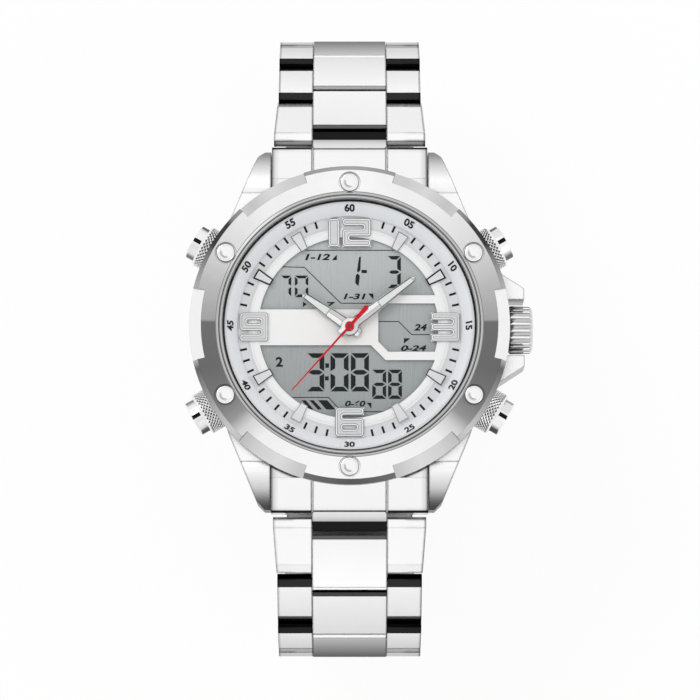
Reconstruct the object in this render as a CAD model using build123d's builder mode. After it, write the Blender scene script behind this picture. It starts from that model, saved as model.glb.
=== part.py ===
"""A steel wristwatch with three hands over a liquid crystal display, on its closed bracelet.

Millimetres, +Z up. The watch stands dial up on the flat of its closed clasp: the origin is on
that flat, under the hand axis, +Y is 12 o'clock and +X is 3 o'clock. Heights named below are
measured up from the case back, and the case back hangs head_rise over the origin.
"""

import os
from math import cos, pi, radians, sin

from build123d import *

os.makedirs("parts", exist_ok=True)

# Fits and cuts
overrun = 1.0  # how far a cut runs past what it cuts
running_fit = 0.05  # radial clearance of a pin that turns or slides
push_fit = 0.02  # clearance of pieces that sit tight in each other
seat_gap = 0.05  # clearance between pieces that only rest on each other

# Bracelet links
link_pitch = 9.1
link_thickness = 2.7
link_centre_half = 5.65  # half width of the middle row
row_gap = 0.08  # between the middle row and the outer rows
knuckle_overhang = 1.1  # steel past the hinge pin at either end
link_gap = 0.45  # between one outer piece and the next
centre_gap = 0.35  # between one middle piece and the next
hinge_pin_radius = 0.5
fixed_pin_radius = 0.45
fixed_pin_place = 4.4  # from the hinge pin to the pin that holds the three rows together
pin_inset = 0.3  # how far pins end inside the outer faces
centre_bevel = 0.5
centre_bevel_drop = 0.35
near_bevel = 1.2
near_bevel_drop = 0.55
far_bevel = 1.5
far_bevel_drop = 0.6
link_edge = 0.4  # bevel of the inner corners
band_half_width = 11.0
first_link_flare = 0.6  # the bracelet is wider by this on either side at the lugs
slopes_12 = (37, 44, 62, 86, 110, 132, 150, 166)  # fall of each link, degrees, from 12 o'clock
slopes_6 = (24, 46, 71, 92, 112, 130, 147, 163)  # and from 6 o'clock
even_links = 3  # links past the first joint before the narrowing to the clasp starts

# Clasp
clasp_half_width = 10.25
clasp_pin_height = 2.9  # height of the bracelet's end pins over the floor
cover_thickness = 1.2
cover_wall = 1.0
cover_wall_height = 4.2
blade_thickness = 0.8
inner_blade_half = 7.0
inner_blade_height = 2.75  # middle of the inner blade
middle_blade_height = 1.75  # middle of the middle blade
middle_blade_waist = 3.0
blade_gap = 0.15
blade_knuckle_radius = 0.92
blade_pin_radius = 0.45
blade_pin_height = 2.25
fold_reach = 15.0  # the blades' fold hinge lies this far on the 6 o'clock side
fold_knuckle_half = 4.0  # half width of the inner blade's knuckle
clasp_ear_inner = link_centre_half + blade_gap  # ears start beside the end knuckles of the bracelet
inner_ear_radius = 1.15
inner_end_gap = 1.6  # from the bracelet's end pin to the plate of the inner blade
middle_blade_half = 9.6
middle_knuckle_half = 8.0
middle_ear_inner = 8.2
middle_end_gap = 1.2  # from the cover's hinge to the plate of the middle blade
waist_half_length = 4.0
cover_ear_radius = 1.1
cover_ear_room = 0.2  # beside the inner blade
cover_ear_step = inner_blade_half + cover_ear_room  # the ears are cut lower inside this half width, to pass the blade
cover_notch_room = 0.3
cover_notch_half = inner_blade_half + cover_notch_room
cover_notch_depth = 2.4
cover_edge = 0.3
cover_hinge_inset = 2.4  # from the bracelet's end pin to the hinge of the cover
cover_end_inset = 1.1
cover_ear_length = 3.4
cover_mouth = 2.3  # free length for the last link between the ears
latch_slot_half = 1.5
latch_slot_outer = 6.5
hook_half = 1.2
hook_inner = 5.1
hook_stem = 0.7
hook_head = 0.45
hook_rise = 0.1  # how high the hook's head stands over the blade
clasp_button_half = 2.4
clasp_button_height = 2.0
clasp_button_depth = 0.9
clasp_press = 0.8
latch_slot_inner = hook_inner - clasp_press - 2 * seat_gap

# Case back. Heights of the head are measured up from its lowest face
case_back_thickness = 1.2
case_back_radius = 20.0
case_back_edge = 0.35
back_screw_circle = 18.7
back_screw_count = 4
back_screw_turn = 45  # of the first screw, degrees from 3 o'clock
back_screw_radius = 0.85
back_screw_head = 0.5
back_screw_shank = 0.45
back_screw_grip = 2.2  # how far the screws go into the case
back_groove_radius = 17.9
back_groove_width = 0.5
back_groove_depth = 0.5

# Module, from the case back up: strap, cells, train, board, light guide and display
bore_radius = 17.4
frame_room = 0.3  # free ring between the module and the bore
frame_radius = bore_radius - frame_room
frame_wall = 2.5  # of plastic, beside the board and the display
frame_inner_radius = frame_radius - frame_wall
frame_floor = case_back_thickness + seat_gap
strap_thickness = 0.2
strap_half = 2.2
strap_ends = (-12.5, 12.0)
strap_floor = frame_floor + seat_gap
pocket_gap = 0.1
web_floor = strap_floor + strap_thickness + pocket_gap
web_skin = 0.35  # plastic over the cells
cell_height = 1.6
cell_cap_share = 0.86
cell_cap_height = 0.15
main_cell_radius = 8.0
main_cell_place = (0, -7.6)
small_cell_radius = 3.4
small_cell_place = (0, 9.5)
web_top = web_floor + cell_height + pocket_gap + web_skin
stem_window_half = 1.7
stem_window_reach = 15.2
plate_radius = 7.6
bridge_plate_floor = web_top + seat_gap
bridge_plate_thickness = 0.25
bridge_top = bridge_plate_floor + bridge_plate_thickness
pillar_radius = 0.5
pillar_circle = 6.9
pillar_angles = (-20, 165, 255)
stator_floor = bridge_top + 2 * seat_gap
stator_thickness = 0.25
stator_hole_radius = 1.2
stator_place = 8.9
stator_half = 6.2
stator_leg = 1.2
stator_ring = 1.68  # half width of the pole pieces round the rotor's hole
stator_shoulder = 1.44  # from the core's middle line to the legs' inner corners
stator_foot = 1.08
coil_radius = 0.8
coil_half = 4.6
core_height = 0.5
core_width = 0.8

# Wheels, one level over the other. Each mesh has its own tooth size, and the centres lie where
# that mesh puts them
wheel_thickness = 0.15
wheel_gap = 0.1  # between one level and the next
wheel_level = wheel_thickness + wheel_gap
pinion_thickness = 0.25
pivot_radius = 0.16
tooth_tip_share = 0.8
tooth_root_share = 1.25
tooth_base_share = 0.3
tooth_crest_share = 0.12
rotor_mesh = (8, 48, 0.1)  # driving teeth, driven teeth, tooth size
step_mesh = (8, 40, 0.12)
second_mesh = (8, 60, 0.08)
third_teeth = (8, 64)
cannon_mesh = (12, 36, 0.125)
minute_mesh = (10, 40, 0.12)
step_angle = 60  # where the wheels stand round the hand axis, degrees from 3 o'clock
rotor_angle = 60
third_angle = 200
minute_wheel_angle = -70
rotor_radius = 1.0
rotor_height = bridge_top + seat_gap
rotor_thickness = 0.4
second_wheel_height = bridge_top + 2 * seat_gap
third_wheel_height = second_wheel_height + wheel_level
step_wheel_height = third_wheel_height + wheel_level
centre_wheel_height = step_wheel_height + wheel_level
main_plate_floor = centre_wheel_height + wheel_level
main_plate_thickness = 0.3
cannon_pinion_height = main_plate_floor + main_plate_thickness + seat_gap
minute_wheel_height = cannon_pinion_height + wheel_gap
hour_wheel_height = minute_wheel_height + wheel_level

# Board and display
board_room = 0.3
board_radius = frame_inner_radius - board_room
board_floor = hour_wheel_height + wheel_level
board_thickness = 0.4
board_hole_radius = 1.3
board_ledge_width = 1.0
board_ledge_radius = frame_inner_radius - board_ledge_width
board_ledge_top = board_floor - seat_gap
chip_size = 3.6
chip_height = 0.45
chip_place = (-7.6, -7.6)
light_guide_radius = 12.0
light_guide_gap = 0.2
light_guide_floor = board_floor + board_thickness + light_guide_gap
light_guide_thickness = 0.55
strip_half_length = 5.0
strip_width = 1.2
strip_reach = 12.7
lcd_room = 0.2
lcd_radius = frame_inner_radius - lcd_room
lcd_floor = light_guide_floor + light_guide_thickness + seat_gap
lcd_thickness = 0.95
frame_top = lcd_floor + lcd_thickness

# Dial, and its windows as shares of the window circle's radius
dial_thickness = 0.4
dial_top = frame_top + seat_gap + dial_thickness
dial_room = 0.15
dial_radius = bore_radius - dial_room
window_radius = 13.85
side_window_radius = 13.45
hand_hole_radius = 1.1
window_reach_share = 1.1  # the outlines run out past the circle that trims them
upper_window_shares = (
    (-window_reach_share, 0.198),
    (0.256, 0.198),
    (0.419, 0.355),
    (window_reach_share, 0.355),
    (window_reach_share, window_reach_share),
    (-window_reach_share, window_reach_share),
)
lower_window_shares = (
    (-window_reach_share, -0.198),
    (0.234, -0.198),
    (0.395, -0.362),
    (window_reach_share, -0.362),
    (window_reach_share, -window_reach_share),
    (-window_reach_share, -window_reach_share),
)
side_window_shares = (
    (0.314, 0.163),
    (0.418, 0.264),
    (window_reach_share, 0.264),
    (window_reach_share, -0.27),
    (0.422, -0.27),
    (0.314, -0.157),
)

# Applied markers and numerals
marker_height = 0.35
marker_inner_radius = 13.6
marker_outer_radius = 16.45
marker_inner_half = 0.55
marker_outer_half = 0.88
marker_hours = (1, 2, 4, 5, 7, 8, 10, 11)
hour_step = 30  # degrees
numeral_height = 4.4
numeral_width = 4.35
numeral_one_width = 1.75
numeral_gap = 0.4
numeral_stroke = 1.15
numeral_reach = 14.5  # from the hand axis to the middle of each numeral
digit_bars = {
    "2": ("top", "upper_right", "middle", "lower_left", "bottom"),
    "3": ("top", "upper_right", "middle", "lower_right", "bottom"),
    "6": ("top", "upper_left", "middle", "lower_left", "lower_right", "bottom"),
    "9": ("top", "upper_left", "upper_right", "middle", "lower_right", "bottom"),
}

# Hands, angles clockwise from 12 o'clock
hour_angle = 305
minute_angle = 53
second_angle = 221.6
hand_thickness = 0.22
hand_gap = 0.35  # between one hand and the next
hour_hand_height = dial_top + marker_height + seat_gap
minute_hand_height = hour_hand_height + hand_thickness + hand_gap
second_hand_height = minute_hand_height + hand_thickness + hand_gap
hour_hand_length = 8.7
minute_hand_length = 12.4
second_hand_length = 13.1
hand_tail = 1.9
hand_tail_share = 0.8  # width of a hand's tail, of its widest part
hour_hand_half = 0.85
minute_hand_half = 0.8
hand_tip_half = 0.45
hand_rim = 0.24
hand_slot_share = 0.46  # where the luminous slot of a hand starts, of the hand's length
second_hand_half = 0.16
second_tail = 4.2
second_tail_half = 0.34
second_boss_radius = 0.68
second_boss_height = 0.45
hub_radius = 1.35
hour_tube_radius = 0.95
minute_tube_radius = 0.6
second_arbor_radius = 0.25
centre_tube_radius = 0.42

# Case
dial_depth = 1.0  # from the case's top down to the dial
case_top = dial_top + dial_depth
case_radius = 22.9
mouth_wall = 3.95  # the case's wall round the mouth over the dial
ledge_radius = case_radius - mouth_wall

# Crystal, chapter ring and bezel
crystal_seat_width = 0.25
crystal_radius = ledge_radius + crystal_seat_width
crystal_thickness = 1.55
crystal_rise = 1.7
crystal_floor = case_top + crystal_rise
crystal_edge = 0.2
gasket_width = 0.55
gasket_radius = crystal_radius + gasket_width
gasket_height = 1.25
gasket_top = crystal_floor + gasket_height
chapter_inner_radius = 17.0
chapter_outer_radius = ledge_radius - seat_gap - push_fit
chapter_lip = 0.35
chapter_top = crystal_floor - seat_gap - push_fit
bezel_thickness = 3.2
bezel_top = case_top + bezel_thickness
bezel_overhang = 1.35
bezel_radius = case_radius + bezel_overhang
bezel_bevel = 0.75
bezel_flat_radius = bezel_radius - bezel_bevel
bezel_bevel_drop = 1.05
bezel_rim_top = bezel_top - bezel_bevel_drop  # where the outer bevel meets the upright edge
bezel_skirt_inset = 0.35
bezel_skirt_radius = bezel_radius - bezel_skirt_inset
bezel_step = 0.9  # height of the thin skirt under the rim
bezel_mouth_width = 0.45
bezel_mouth_radius = gasket_radius + bezel_mouth_width
bezel_mouth_drop = 0.3
scallop_width = 1.85
scallop_radius = bezel_radius - scallop_width
scallop_half_angle = 13.3
scallop_drop = 1.9
bezel_screw_inset = 1.3  # from the case's edge
bezel_screw_circle = case_radius - bezel_screw_inset
bezel_screw_count = 6
bezel_screw_turn = 90
screw_head_radius = 1.4
screw_recess_radius = 1.62
screw_recess_depth = 0.7
screw_head_height = 0.85
screw_dome = 0.25
screw_shank_radius = 0.55
screw_grip = 2.2  # how far the screws go into the case
screw_shank_floor = case_top - screw_grip

# Lugs, end links and lug bars
lug_length = 4.6  # how far the lugs stand out of the round case, towards 12 and 6 o'clock
lug_reach = case_radius + lug_length
lug_inner_half = 12.0
lug_tip_thickness = 2.0
lug_tip_half = lug_inner_half + lug_tip_thickness
lug_root_thickness = 6.5
lug_root_half = lug_inner_half + lug_root_thickness
lug_root_reach = 15.6
lug_near_reach = 7.8  # where a lug's plan starts, inside the case
lug_chamfer = 1.1
lug_tip_width = 0.9
lug_shoulder_reach = 20.5
lug_shoulder_drop = 0.1
lug_shoulder_height = case_top - lug_shoulder_drop
lug_crown_inset = 2.3
lug_crown_reach = lug_reach - lug_crown_inset
lug_crown_drop = 1.1
lug_crown_height = case_top - lug_crown_drop
lug_tip_top = 5.4
lug_tip_bottom = 0.6
lug_foot_reach = 21.0
lug_foot = 0.2
bar_inset = 2.6
bar_reach = lug_reach - bar_inset
bar_height = 4.3
bar_radius = 0.75
lug_gap = 0.12  # between a lug and the end link
end_link_half = lug_inner_half - lug_gap
bar_half = end_link_half - pin_inset
bar_tip_radius = 0.4
bar_tip_grip = 1.2  # how far the bars' tips go into the lugs
bar_tip_half = lug_inner_half + bar_tip_grip
first_pin_overhang = 2.1
first_pin_reach = lug_reach + first_pin_overhang  # from the hand axis to the first hinge pin of the bracelet
first_pin_height = 4.7
first_half_width = band_half_width + first_link_flare
end_link_drop = 1.05
end_link_top = case_top - end_link_drop
end_link_far_top = 6.75
end_link_far_floor = 3.5
end_link_near_floor = 2.4
end_link_near_reach = 18.0
end_link_edge = 0.35
bridge_length = 3.6
bridge_near_reach = first_pin_reach - bridge_length
bridge_near_top = 7.41
bridge_bevel = 1.4
bridge_bevel_drop = 0.85
bridge_groove_width = 0.25
bridge_groove_depth = 0.25
case_gap = 0.1

# Crown, its tube and its guards
control_height = 5.2  # height of the crown and of the pushers
control_bore_start = 8.7  # the bores are cut from here outward, through the wall
crown_radius = 3.7
crown_length = 3.65
crown_tube_radius = 2.2
crown_tube_length = 1.1
crown_tube_reach = case_radius + crown_tube_length
crown_gap = 0.15
crown_inner_reach = crown_tube_reach + crown_gap
crown_outer_reach = crown_inner_reach + crown_length
crown_flutes = 22
crown_flute_radius = 0.36
crown_chamfer = 0.55
crown_recess_room = 0.3
crown_recess_radius = crown_tube_radius + crown_recess_room
crown_recess_depth = 1.6
stem_radius = 0.5
stem_gap = 0.3
stem_inner_reach = plate_radius + stem_gap
setting_pinion_radius = 0.75
stem_tip = 0.3
setting_pinion_place = stem_inner_reach + stem_tip
setting_pinion_length = 1.2
crown_proud = 1.3  # how far the crown stands out of its guards
guard_reach = crown_outer_reach - crown_proud
guard_near_reach = 17.0  # the guards start here, inside the case
guard_root_reach = 20.6
guard_root_half = 9.8
guard_gap = 0.56  # between the crown and a guard
guard_inner_half = crown_radius + guard_gap
guard_tip_thickness = 1.69
guard_tip_half = guard_inner_half + guard_tip_thickness
guard_drop = 3.0
guard_floor = control_height - guard_drop
guard_rise = 3.5
guard_top = control_height + guard_rise

# Pushers, from the case outward: spigot, knurled collar, and the cap in the collar's mouth
pusher_angles = (30, 150, 210, 330)  # degrees from 3 o'clock, anticlockwise
pusher_press = 0.9
collar_radius = 3.3
collar_sink = 0.2  # how deep the collar sits in the case
collar_floor = 1.2
collar_depth = 2.1
collar_wall = 0.6
collar_grooves = 24
collar_groove_radius = 0.16
collar_inner_reach = case_radius - collar_sink
cap_bore_floor = collar_inner_reach + collar_floor
collar_outer_reach = cap_bore_floor + collar_depth
spigot_length = 2.1
spigot_floor = 0.7
spigot_wall = 0.45
spigot_radius = 2.1
spigot_inner_reach = collar_inner_reach - spigot_length
spring_bore_radius = spigot_radius - spigot_wall
spring_seat_reach = spigot_inner_reach + spigot_floor
cap_proud = 1.45  # how far the cap stands out of the collar
cap_radius = collar_radius - collar_wall
cap_inner_reach = cap_bore_floor + pusher_press + 2 * seat_gap
cap_outer_reach = collar_outer_reach + cap_proud
cap_edge = 0.25
cap_slot_width = 0.63
cap_slot_depth = 1.3
pusher_stem_radius = 0.7
pusher_stem_length = 4.1  # how far the stem reaches in, past the spigot
pusher_stem_inner_reach = spigot_inner_reach - pusher_stem_length
pusher_clip_radius = 1.35
pusher_clip_inset = 0.4
pusher_clip_place = pusher_stem_inner_reach + pusher_clip_inset
pusher_clip_thickness = 0.2
spring_wire_radius = 0.15
spring_coil_radius = 1.2
spring_turns = 5
spring_length = cap_bore_floor - spring_seat_reach - 2 * spring_wire_radius


def fall_of(slopes):
    """How far a row of links comes down from its first pin to its last."""
    return sum(link_pitch * sin(radians(slope)) for slope in slopes)


head_rise = fall_of(slopes_12) - first_pin_height + clasp_pin_height
head_section = Plane(origin=(0, 0, head_rise), x_dir=(1, 0, 0), z_dir=(0, -1, 0))
side_section = Plane(origin=(0, 0, head_rise), x_dir=(0, 1, 0), z_dir=(1, 0, 0))


def level(height):
    """The plane that lies at a height over the case back."""
    return Plane.XY.offset(head_rise + height)


def control_axis(angle):
    """A plane at the hand axis whose normal runs out along a crown or pusher."""
    direction = (cos(radians(angle)), sin(radians(angle)), 0)
    return Plane(origin=(0, 0, head_rise + control_height), x_dir=(0, 0, 1), z_dir=direction)


def outline(points, mode=Mode.ADD):
    """Fill a closed outline in the sketch that is being drawn."""
    with BuildLine() as border:
        Polyline(*points, close=True)
    make_face(border.line, mode=mode)


def scaled(shares, size):
    """Points from shares of a size."""
    return [(along * size, across * size) for along, across in shares]


def turned(points, mode=Mode.ADD, arc=360):
    """Revolve an outline of radius and height about the hand axis."""
    with BuildSketch(head_section) as section:
        outline(points)
    return revolve(section.sketch, axis=Axis.Z, revolution_arc=arc, mode=mode)


def slab(plane, amount, points, mode=Mode.ADD, both=False):
    """Extrude a closed outline from a plane."""
    with BuildSketch(plane) as section:
        outline(points)
    extrude(section.sketch, amount=amount, both=both, mode=mode)


def block(plane, amount, centre, width, depth, mode=Mode.ADD):
    """Extrude a rectangle from a plane."""
    with BuildSketch(plane) as section:
        with Locations(centre):
            Rectangle(width, depth)
    extrude(section.sketch, amount=amount, mode=mode)


def rod(plane, start, end, radius, mode=Mode.ADD):
    """A round bar along a plane's normal."""
    with BuildSketch(plane.offset(start)) as section:
        Circle(radius)
    extrude(section.sketch, amount=end - start, mode=mode)


def disc(centre, floor, top, radius, mode=Mode.ADD):
    """A round plate between two heights, about an upright axis."""
    with BuildSketch(level(floor)) as section:
        with Locations(centre):
            Circle(radius)
    extrude(section.sketch, amount=top - floor, mode=mode)


def ring_of_discs(floor, top, circle, count, start_angle, radius, mode=Mode.ADD):
    """Equal round plates on a circle about the hand axis."""
    with BuildSketch(level(floor)) as section:
        with PolarLocations(circle, count, start_angle=start_angle):
            Circle(radius)
    extrude(section.sketch, amount=top - floor, mode=mode)


def write(name, *solids):
    """Write one node, as one solid or as a group of separate ones."""
    if len(solids) == 1:
        piece = solids[0].part
    else:
        piece = Compound(children=[solid.part.solid() for solid in solids])
    piece.label = name
    export_step(piece, f"parts/{name}.step")


# Case body
groove_inner = back_groove_radius - back_groove_width / 2
groove_outer = back_groove_radius + back_groove_width / 2
with BuildPart() as case_body:
    with BuildSketch(level(lug_foot)):
        Circle(case_radius)
        for side in (-1, 1):
            for end in (-1, 1):
                outline(
                    [
                        (side * lug_inner_half, end * lug_near_reach),
                        (side * lug_inner_half, end * lug_reach),
                        (side * (lug_inner_half + lug_tip_width), end * lug_reach),
                        (side * lug_tip_half, end * (lug_reach - lug_chamfer)),
                        (side * lug_root_half, end * lug_root_reach),
                    ]
                )
    extrude(amount=case_top - lug_foot)
    with BuildSketch(side_section):
        with BuildLine():
            for end in (-1, 1):
                ThreePointArc(
                    (end * lug_shoulder_reach, lug_shoulder_height),
                    (end * lug_crown_reach, lug_crown_height),
                    (end * lug_reach, lug_tip_top),
                )
                Polyline(
                    (end * lug_reach, lug_tip_top),
                    (end * lug_reach, lug_tip_bottom),
                    (end * (lug_reach - lug_chamfer), lug_foot),
                    (end * (lug_reach - 2 * lug_chamfer), lug_foot),
                    (end * lug_foot_reach, case_back_thickness),
                    (0, case_back_thickness),
                )
                Polyline(
                    (end * lug_shoulder_reach, lug_shoulder_height),
                    (end * lug_shoulder_reach, case_top),
                    (0, case_top),
                )
        make_face()
    extrude(amount=case_radius + overrun, both=True, mode=Mode.INTERSECT)
    with BuildSketch(level(guard_floor)):
        for end in (-1, 1):
            outline(
                [
                    (guard_near_reach, end * guard_inner_half),
                    (guard_reach, end * guard_inner_half),
                    (guard_reach, end * guard_tip_half),
                    (guard_root_reach, end * guard_root_half),
                    (guard_near_reach, end * guard_root_half),
                ]
            )
    extrude(amount=guard_top - guard_floor)
    rod(control_axis(0), crown_tube_reach - 2 * crown_tube_radius, crown_tube_reach, crown_tube_radius)
    turned(
        [
            (0, -overrun),
            (bore_radius, -overrun),
            (bore_radius, dial_top + push_fit),
            (ledge_radius, dial_top + push_fit),
            (ledge_radius, case_top + overrun),
            (0, case_top + overrun),
        ],
        mode=Mode.SUBTRACT,
    )
    turned(
        [
            (groove_inner, case_back_thickness - overrun),
            (groove_outer, case_back_thickness - overrun),
            (groove_outer, case_back_thickness + back_groove_depth),
            (groove_inner, case_back_thickness + back_groove_depth),
        ],
        mode=Mode.SUBTRACT,
    )
    rod(
        control_axis(0), control_bore_start, crown_tube_reach + overrun,
        stem_radius + running_fit, Mode.SUBTRACT,
    )
    for angle in pusher_angles:
        for start, radius in (
            (control_bore_start, pusher_stem_radius + running_fit),
            (spigot_inner_reach, spigot_radius + push_fit),
            (collar_inner_reach - push_fit, collar_radius + push_fit),
        ):
            rod(control_axis(angle), start, case_radius + overrun, radius, Mode.SUBTRACT)
    ring_of_discs(
        screw_shank_floor, case_top + overrun, bezel_screw_circle, bezel_screw_count, bezel_screw_turn,
        screw_shank_radius + push_fit, Mode.SUBTRACT,
    )
    ring_of_discs(
        0, case_back_thickness + back_screw_grip, back_screw_circle, back_screw_count, back_screw_turn,
        back_screw_shank + push_fit, Mode.SUBTRACT,
    )
    for end in (-1, 1):
        with BuildSketch(side_section):
            with Locations((end * bar_reach, bar_height)):
                Circle(bar_tip_radius + push_fit)
        extrude(amount=bar_tip_half + push_fit, both=True, mode=Mode.SUBTRACT)
write("case_body", case_body)

# Bezel
scallop_run = (bezel_radius + overrun - scallop_radius) / (bezel_radius - scallop_radius)
with BuildPart() as bezel:
    turned(
        [
            (ledge_radius, case_top),
            (bezel_skirt_radius, case_top),
            (bezel_skirt_radius, case_top + bezel_step),
            (bezel_radius, case_top + bezel_step),
            (bezel_radius, bezel_rim_top),
            (bezel_flat_radius, bezel_top),
            (bezel_mouth_radius, bezel_top),
            (gasket_radius, bezel_top - bezel_mouth_drop),
            (gasket_radius, crystal_floor),
            (ledge_radius, crystal_floor),
        ]
    )
    scallop = turned(
        [
            (scallop_radius, bezel_top),
            (bezel_radius + overrun, bezel_top - scallop_drop * scallop_run),
            (bezel_radius + overrun, bezel_top + overrun),
            (scallop_radius, bezel_top + overrun),
        ],
        mode=Mode.PRIVATE,
        arc=2 * scallop_half_angle,
    )
    for facet in range(bezel_screw_count):
        turn = 360 / bezel_screw_count * facet - scallop_half_angle
        add(scallop.rotate(Axis.Z, turn), mode=Mode.SUBTRACT)
    ring_of_discs(
        bezel_top - screw_recess_depth, bezel_top + overrun, bezel_screw_circle, bezel_screw_count,
        bezel_screw_turn, screw_recess_radius, Mode.SUBTRACT,
    )
    ring_of_discs(
        case_top, bezel_top, bezel_screw_circle, bezel_screw_count, bezel_screw_turn,
        screw_shank_radius + push_fit, Mode.SUBTRACT,
    )
write("bezel", bezel)

# Bezel screws, smooth domes in round recesses
screw_seat = bezel_top - screw_recess_depth
bezel_screws = []
for place in PolarLocations(bezel_screw_circle, bezel_screw_count, start_angle=bezel_screw_turn):
    spot = (place.position.X, place.position.Y)
    with BuildPart() as bezel_screw:
        disc(spot, screw_seat, screw_seat + screw_head_height, screw_head_radius)
        fillet(bezel_screw.edges().group_by(Axis.Z)[-1], screw_dome)
        disc(spot, screw_shank_floor, screw_seat, screw_shank_radius)
    bezel_screws.append(bezel_screw)
write("bezel_screws", *bezel_screws)

# Crystal and its gasket, and the gasket of the case back
with BuildPart() as crystal:
    disc((0, 0), crystal_floor, crystal_floor + crystal_thickness, crystal_radius)
    chamfer(crystal.edges().group_by(Axis.Z)[-1], crystal_edge)
write("crystal", crystal)

with BuildPart() as crystal_gasket:
    turned(
        [
            (crystal_radius, crystal_floor),
            (gasket_radius, crystal_floor),
            (gasket_radius, gasket_top),
            (crystal_radius, gasket_top),
        ]
    )
back_gasket_top = case_back_thickness + back_groove_depth - push_fit
with BuildPart() as back_gasket:
    turned(
        [
            (groove_inner, case_back_thickness),
            (groove_outer, case_back_thickness),
            (groove_outer, back_gasket_top),
            (groove_inner, back_gasket_top),
        ]
    )
write("gaskets", crystal_gasket, back_gasket)

# Chapter ring, the sloped ring round the dial
with BuildPart() as chapter_ring:
    turned(
        [
            (chapter_inner_radius, dial_top + push_fit),
            (chapter_outer_radius, dial_top + push_fit),
            (chapter_outer_radius, chapter_top),
            (chapter_outer_radius - chapter_lip, chapter_top),
            (chapter_inner_radius, dial_top + chapter_lip),
        ]
    )
write("chapter_ring", chapter_ring)

# Dial with its three windows
with BuildPart() as dial:
    disc((0, 0), dial_top - dial_thickness, dial_top, dial_radius)
    for shares, radius in (
        (upper_window_shares, window_radius),
        (lower_window_shares, window_radius),
        (side_window_shares, side_window_radius),
    ):
        with BuildSketch(level(dial_top - dial_thickness - overrun)):
            Circle(radius)
            outline(scaled(shares, window_radius), mode=Mode.INTERSECT)
        extrude(amount=dial_thickness + 2 * overrun, mode=Mode.SUBTRACT)
    disc((0, 0), dial_top - dial_thickness, dial_top, hand_hole_radius, Mode.SUBTRACT)
write("dial", dial)


def numeral_bar(bar, centre, width):
    """One straight bar of a squared numeral, as a middle, a width and a height."""
    across, up = centre
    arm = (numeral_height - numeral_stroke) / 2
    half = arm + numeral_stroke
    reach = (width - numeral_stroke) / 2
    return {
        "top": ((across, up + arm), width, numeral_stroke),
        "middle": ((across, up), width, numeral_stroke),
        "bottom": ((across, up - arm), width, numeral_stroke),
        "upper_left": ((across - reach, up + arm / 2), numeral_stroke, half),
        "upper_right": ((across + reach, up + arm / 2), numeral_stroke, half),
        "lower_left": ((across - reach, up - arm / 2), numeral_stroke, half),
        "lower_right": ((across + reach, up - arm / 2), numeral_stroke, half),
    }[bar]


# Applied hour markers and numerals
one_shift = (numeral_width + numeral_gap) / 2
two_shift = (numeral_one_width + numeral_gap) / 2
markers = []
for hour in marker_hours:
    with BuildPart() as marker:
        slab(
            level(dial_top),
            marker_height,
            [
                (-marker_inner_half, marker_inner_radius),
                (marker_inner_half, marker_inner_radius),
                (marker_outer_half, marker_outer_radius),
                (-marker_outer_half, marker_outer_radius),
            ],
        )
    marker.part = marker.part.rotate(Axis.Z, -hour_step * hour)
    markers.append(marker)
for digit, centre in (
    ("2", (two_shift, numeral_reach)),
    ("3", (numeral_reach, 0)),
    ("6", (0, -numeral_reach)),
    ("9", (-numeral_reach, 0)),
):
    with BuildPart() as numeral:
        for bar in digit_bars[digit]:
            middle, width, height = numeral_bar(bar, centre, numeral_width)
            block(level(dial_top), marker_height, middle, width, height)
    markers.append(numeral)
with BuildPart() as numeral_one:
    block(level(dial_top), marker_height, (-one_shift, numeral_reach), numeral_one_width, numeral_height)
markers.append(numeral_one)
write("dial_markers", *markers)

# Case back and its screws
with BuildPart() as case_back:
    disc((0, 0), 0, case_back_thickness, case_back_radius)
    chamfer(case_back.edges().group_by(Axis.Z)[0], case_back_edge)
    ring_of_discs(
        0, back_screw_head + push_fit, back_screw_circle, back_screw_count, back_screw_turn,
        back_screw_radius + push_fit, Mode.SUBTRACT,
    )
    ring_of_discs(
        0, case_back_thickness, back_screw_circle, back_screw_count, back_screw_turn,
        back_screw_shank + push_fit, Mode.SUBTRACT,
    )
write("case_back", case_back)

back_screws = []
for place in PolarLocations(back_screw_circle, back_screw_count, start_angle=back_screw_turn):
    spot = (place.position.X, place.position.Y)
    with BuildPart() as back_screw:
        disc(spot, seat_gap, back_screw_head, back_screw_radius)
        block(
            level(0), back_screw_head / 2, spot, 2 * back_screw_radius, back_screw_shank / 2, Mode.SUBTRACT
        )
        disc(spot, back_screw_head, case_back_thickness + back_screw_grip - seat_gap, back_screw_shank)
    back_screws.append(back_screw)
write("case_back_screws", *back_screws)

# Crown on its stem
with BuildPart() as crown:
    rod(control_axis(0), crown_inner_reach, crown_outer_reach, crown_radius)
    chamfer(crown.edges().group_by(Axis.X)[-1], crown_chamfer)
    chamfer(crown.edges().group_by(Axis.X)[0], crown_chamfer / 2)
    with BuildSketch(control_axis(0).offset(crown_inner_reach)):
        with PolarLocations(crown_radius, crown_flutes):
            Circle(crown_flute_radius)
    extrude(amount=crown_outer_reach - crown_inner_reach, mode=Mode.SUBTRACT)
    crown_recess_end = crown_inner_reach + crown_recess_depth
    rod(control_axis(0), crown_inner_reach, crown_recess_end, crown_recess_radius, Mode.SUBTRACT)
    stem_end = crown_outer_reach - crown_chamfer
    rod(
        control_axis(0), crown_inner_reach, stem_end - crown_chamfer,
        stem_radius + running_fit, Mode.SUBTRACT,
    )
write("crown", crown)

with BuildPart() as crown_stem:
    rod(control_axis(0), stem_inner_reach, stem_end - 2 * crown_chamfer, stem_radius)
    rod(
        control_axis(0), setting_pinion_place, setting_pinion_place + setting_pinion_length,
        setting_pinion_radius,
    )
write("crown_stem", crown_stem)

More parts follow.
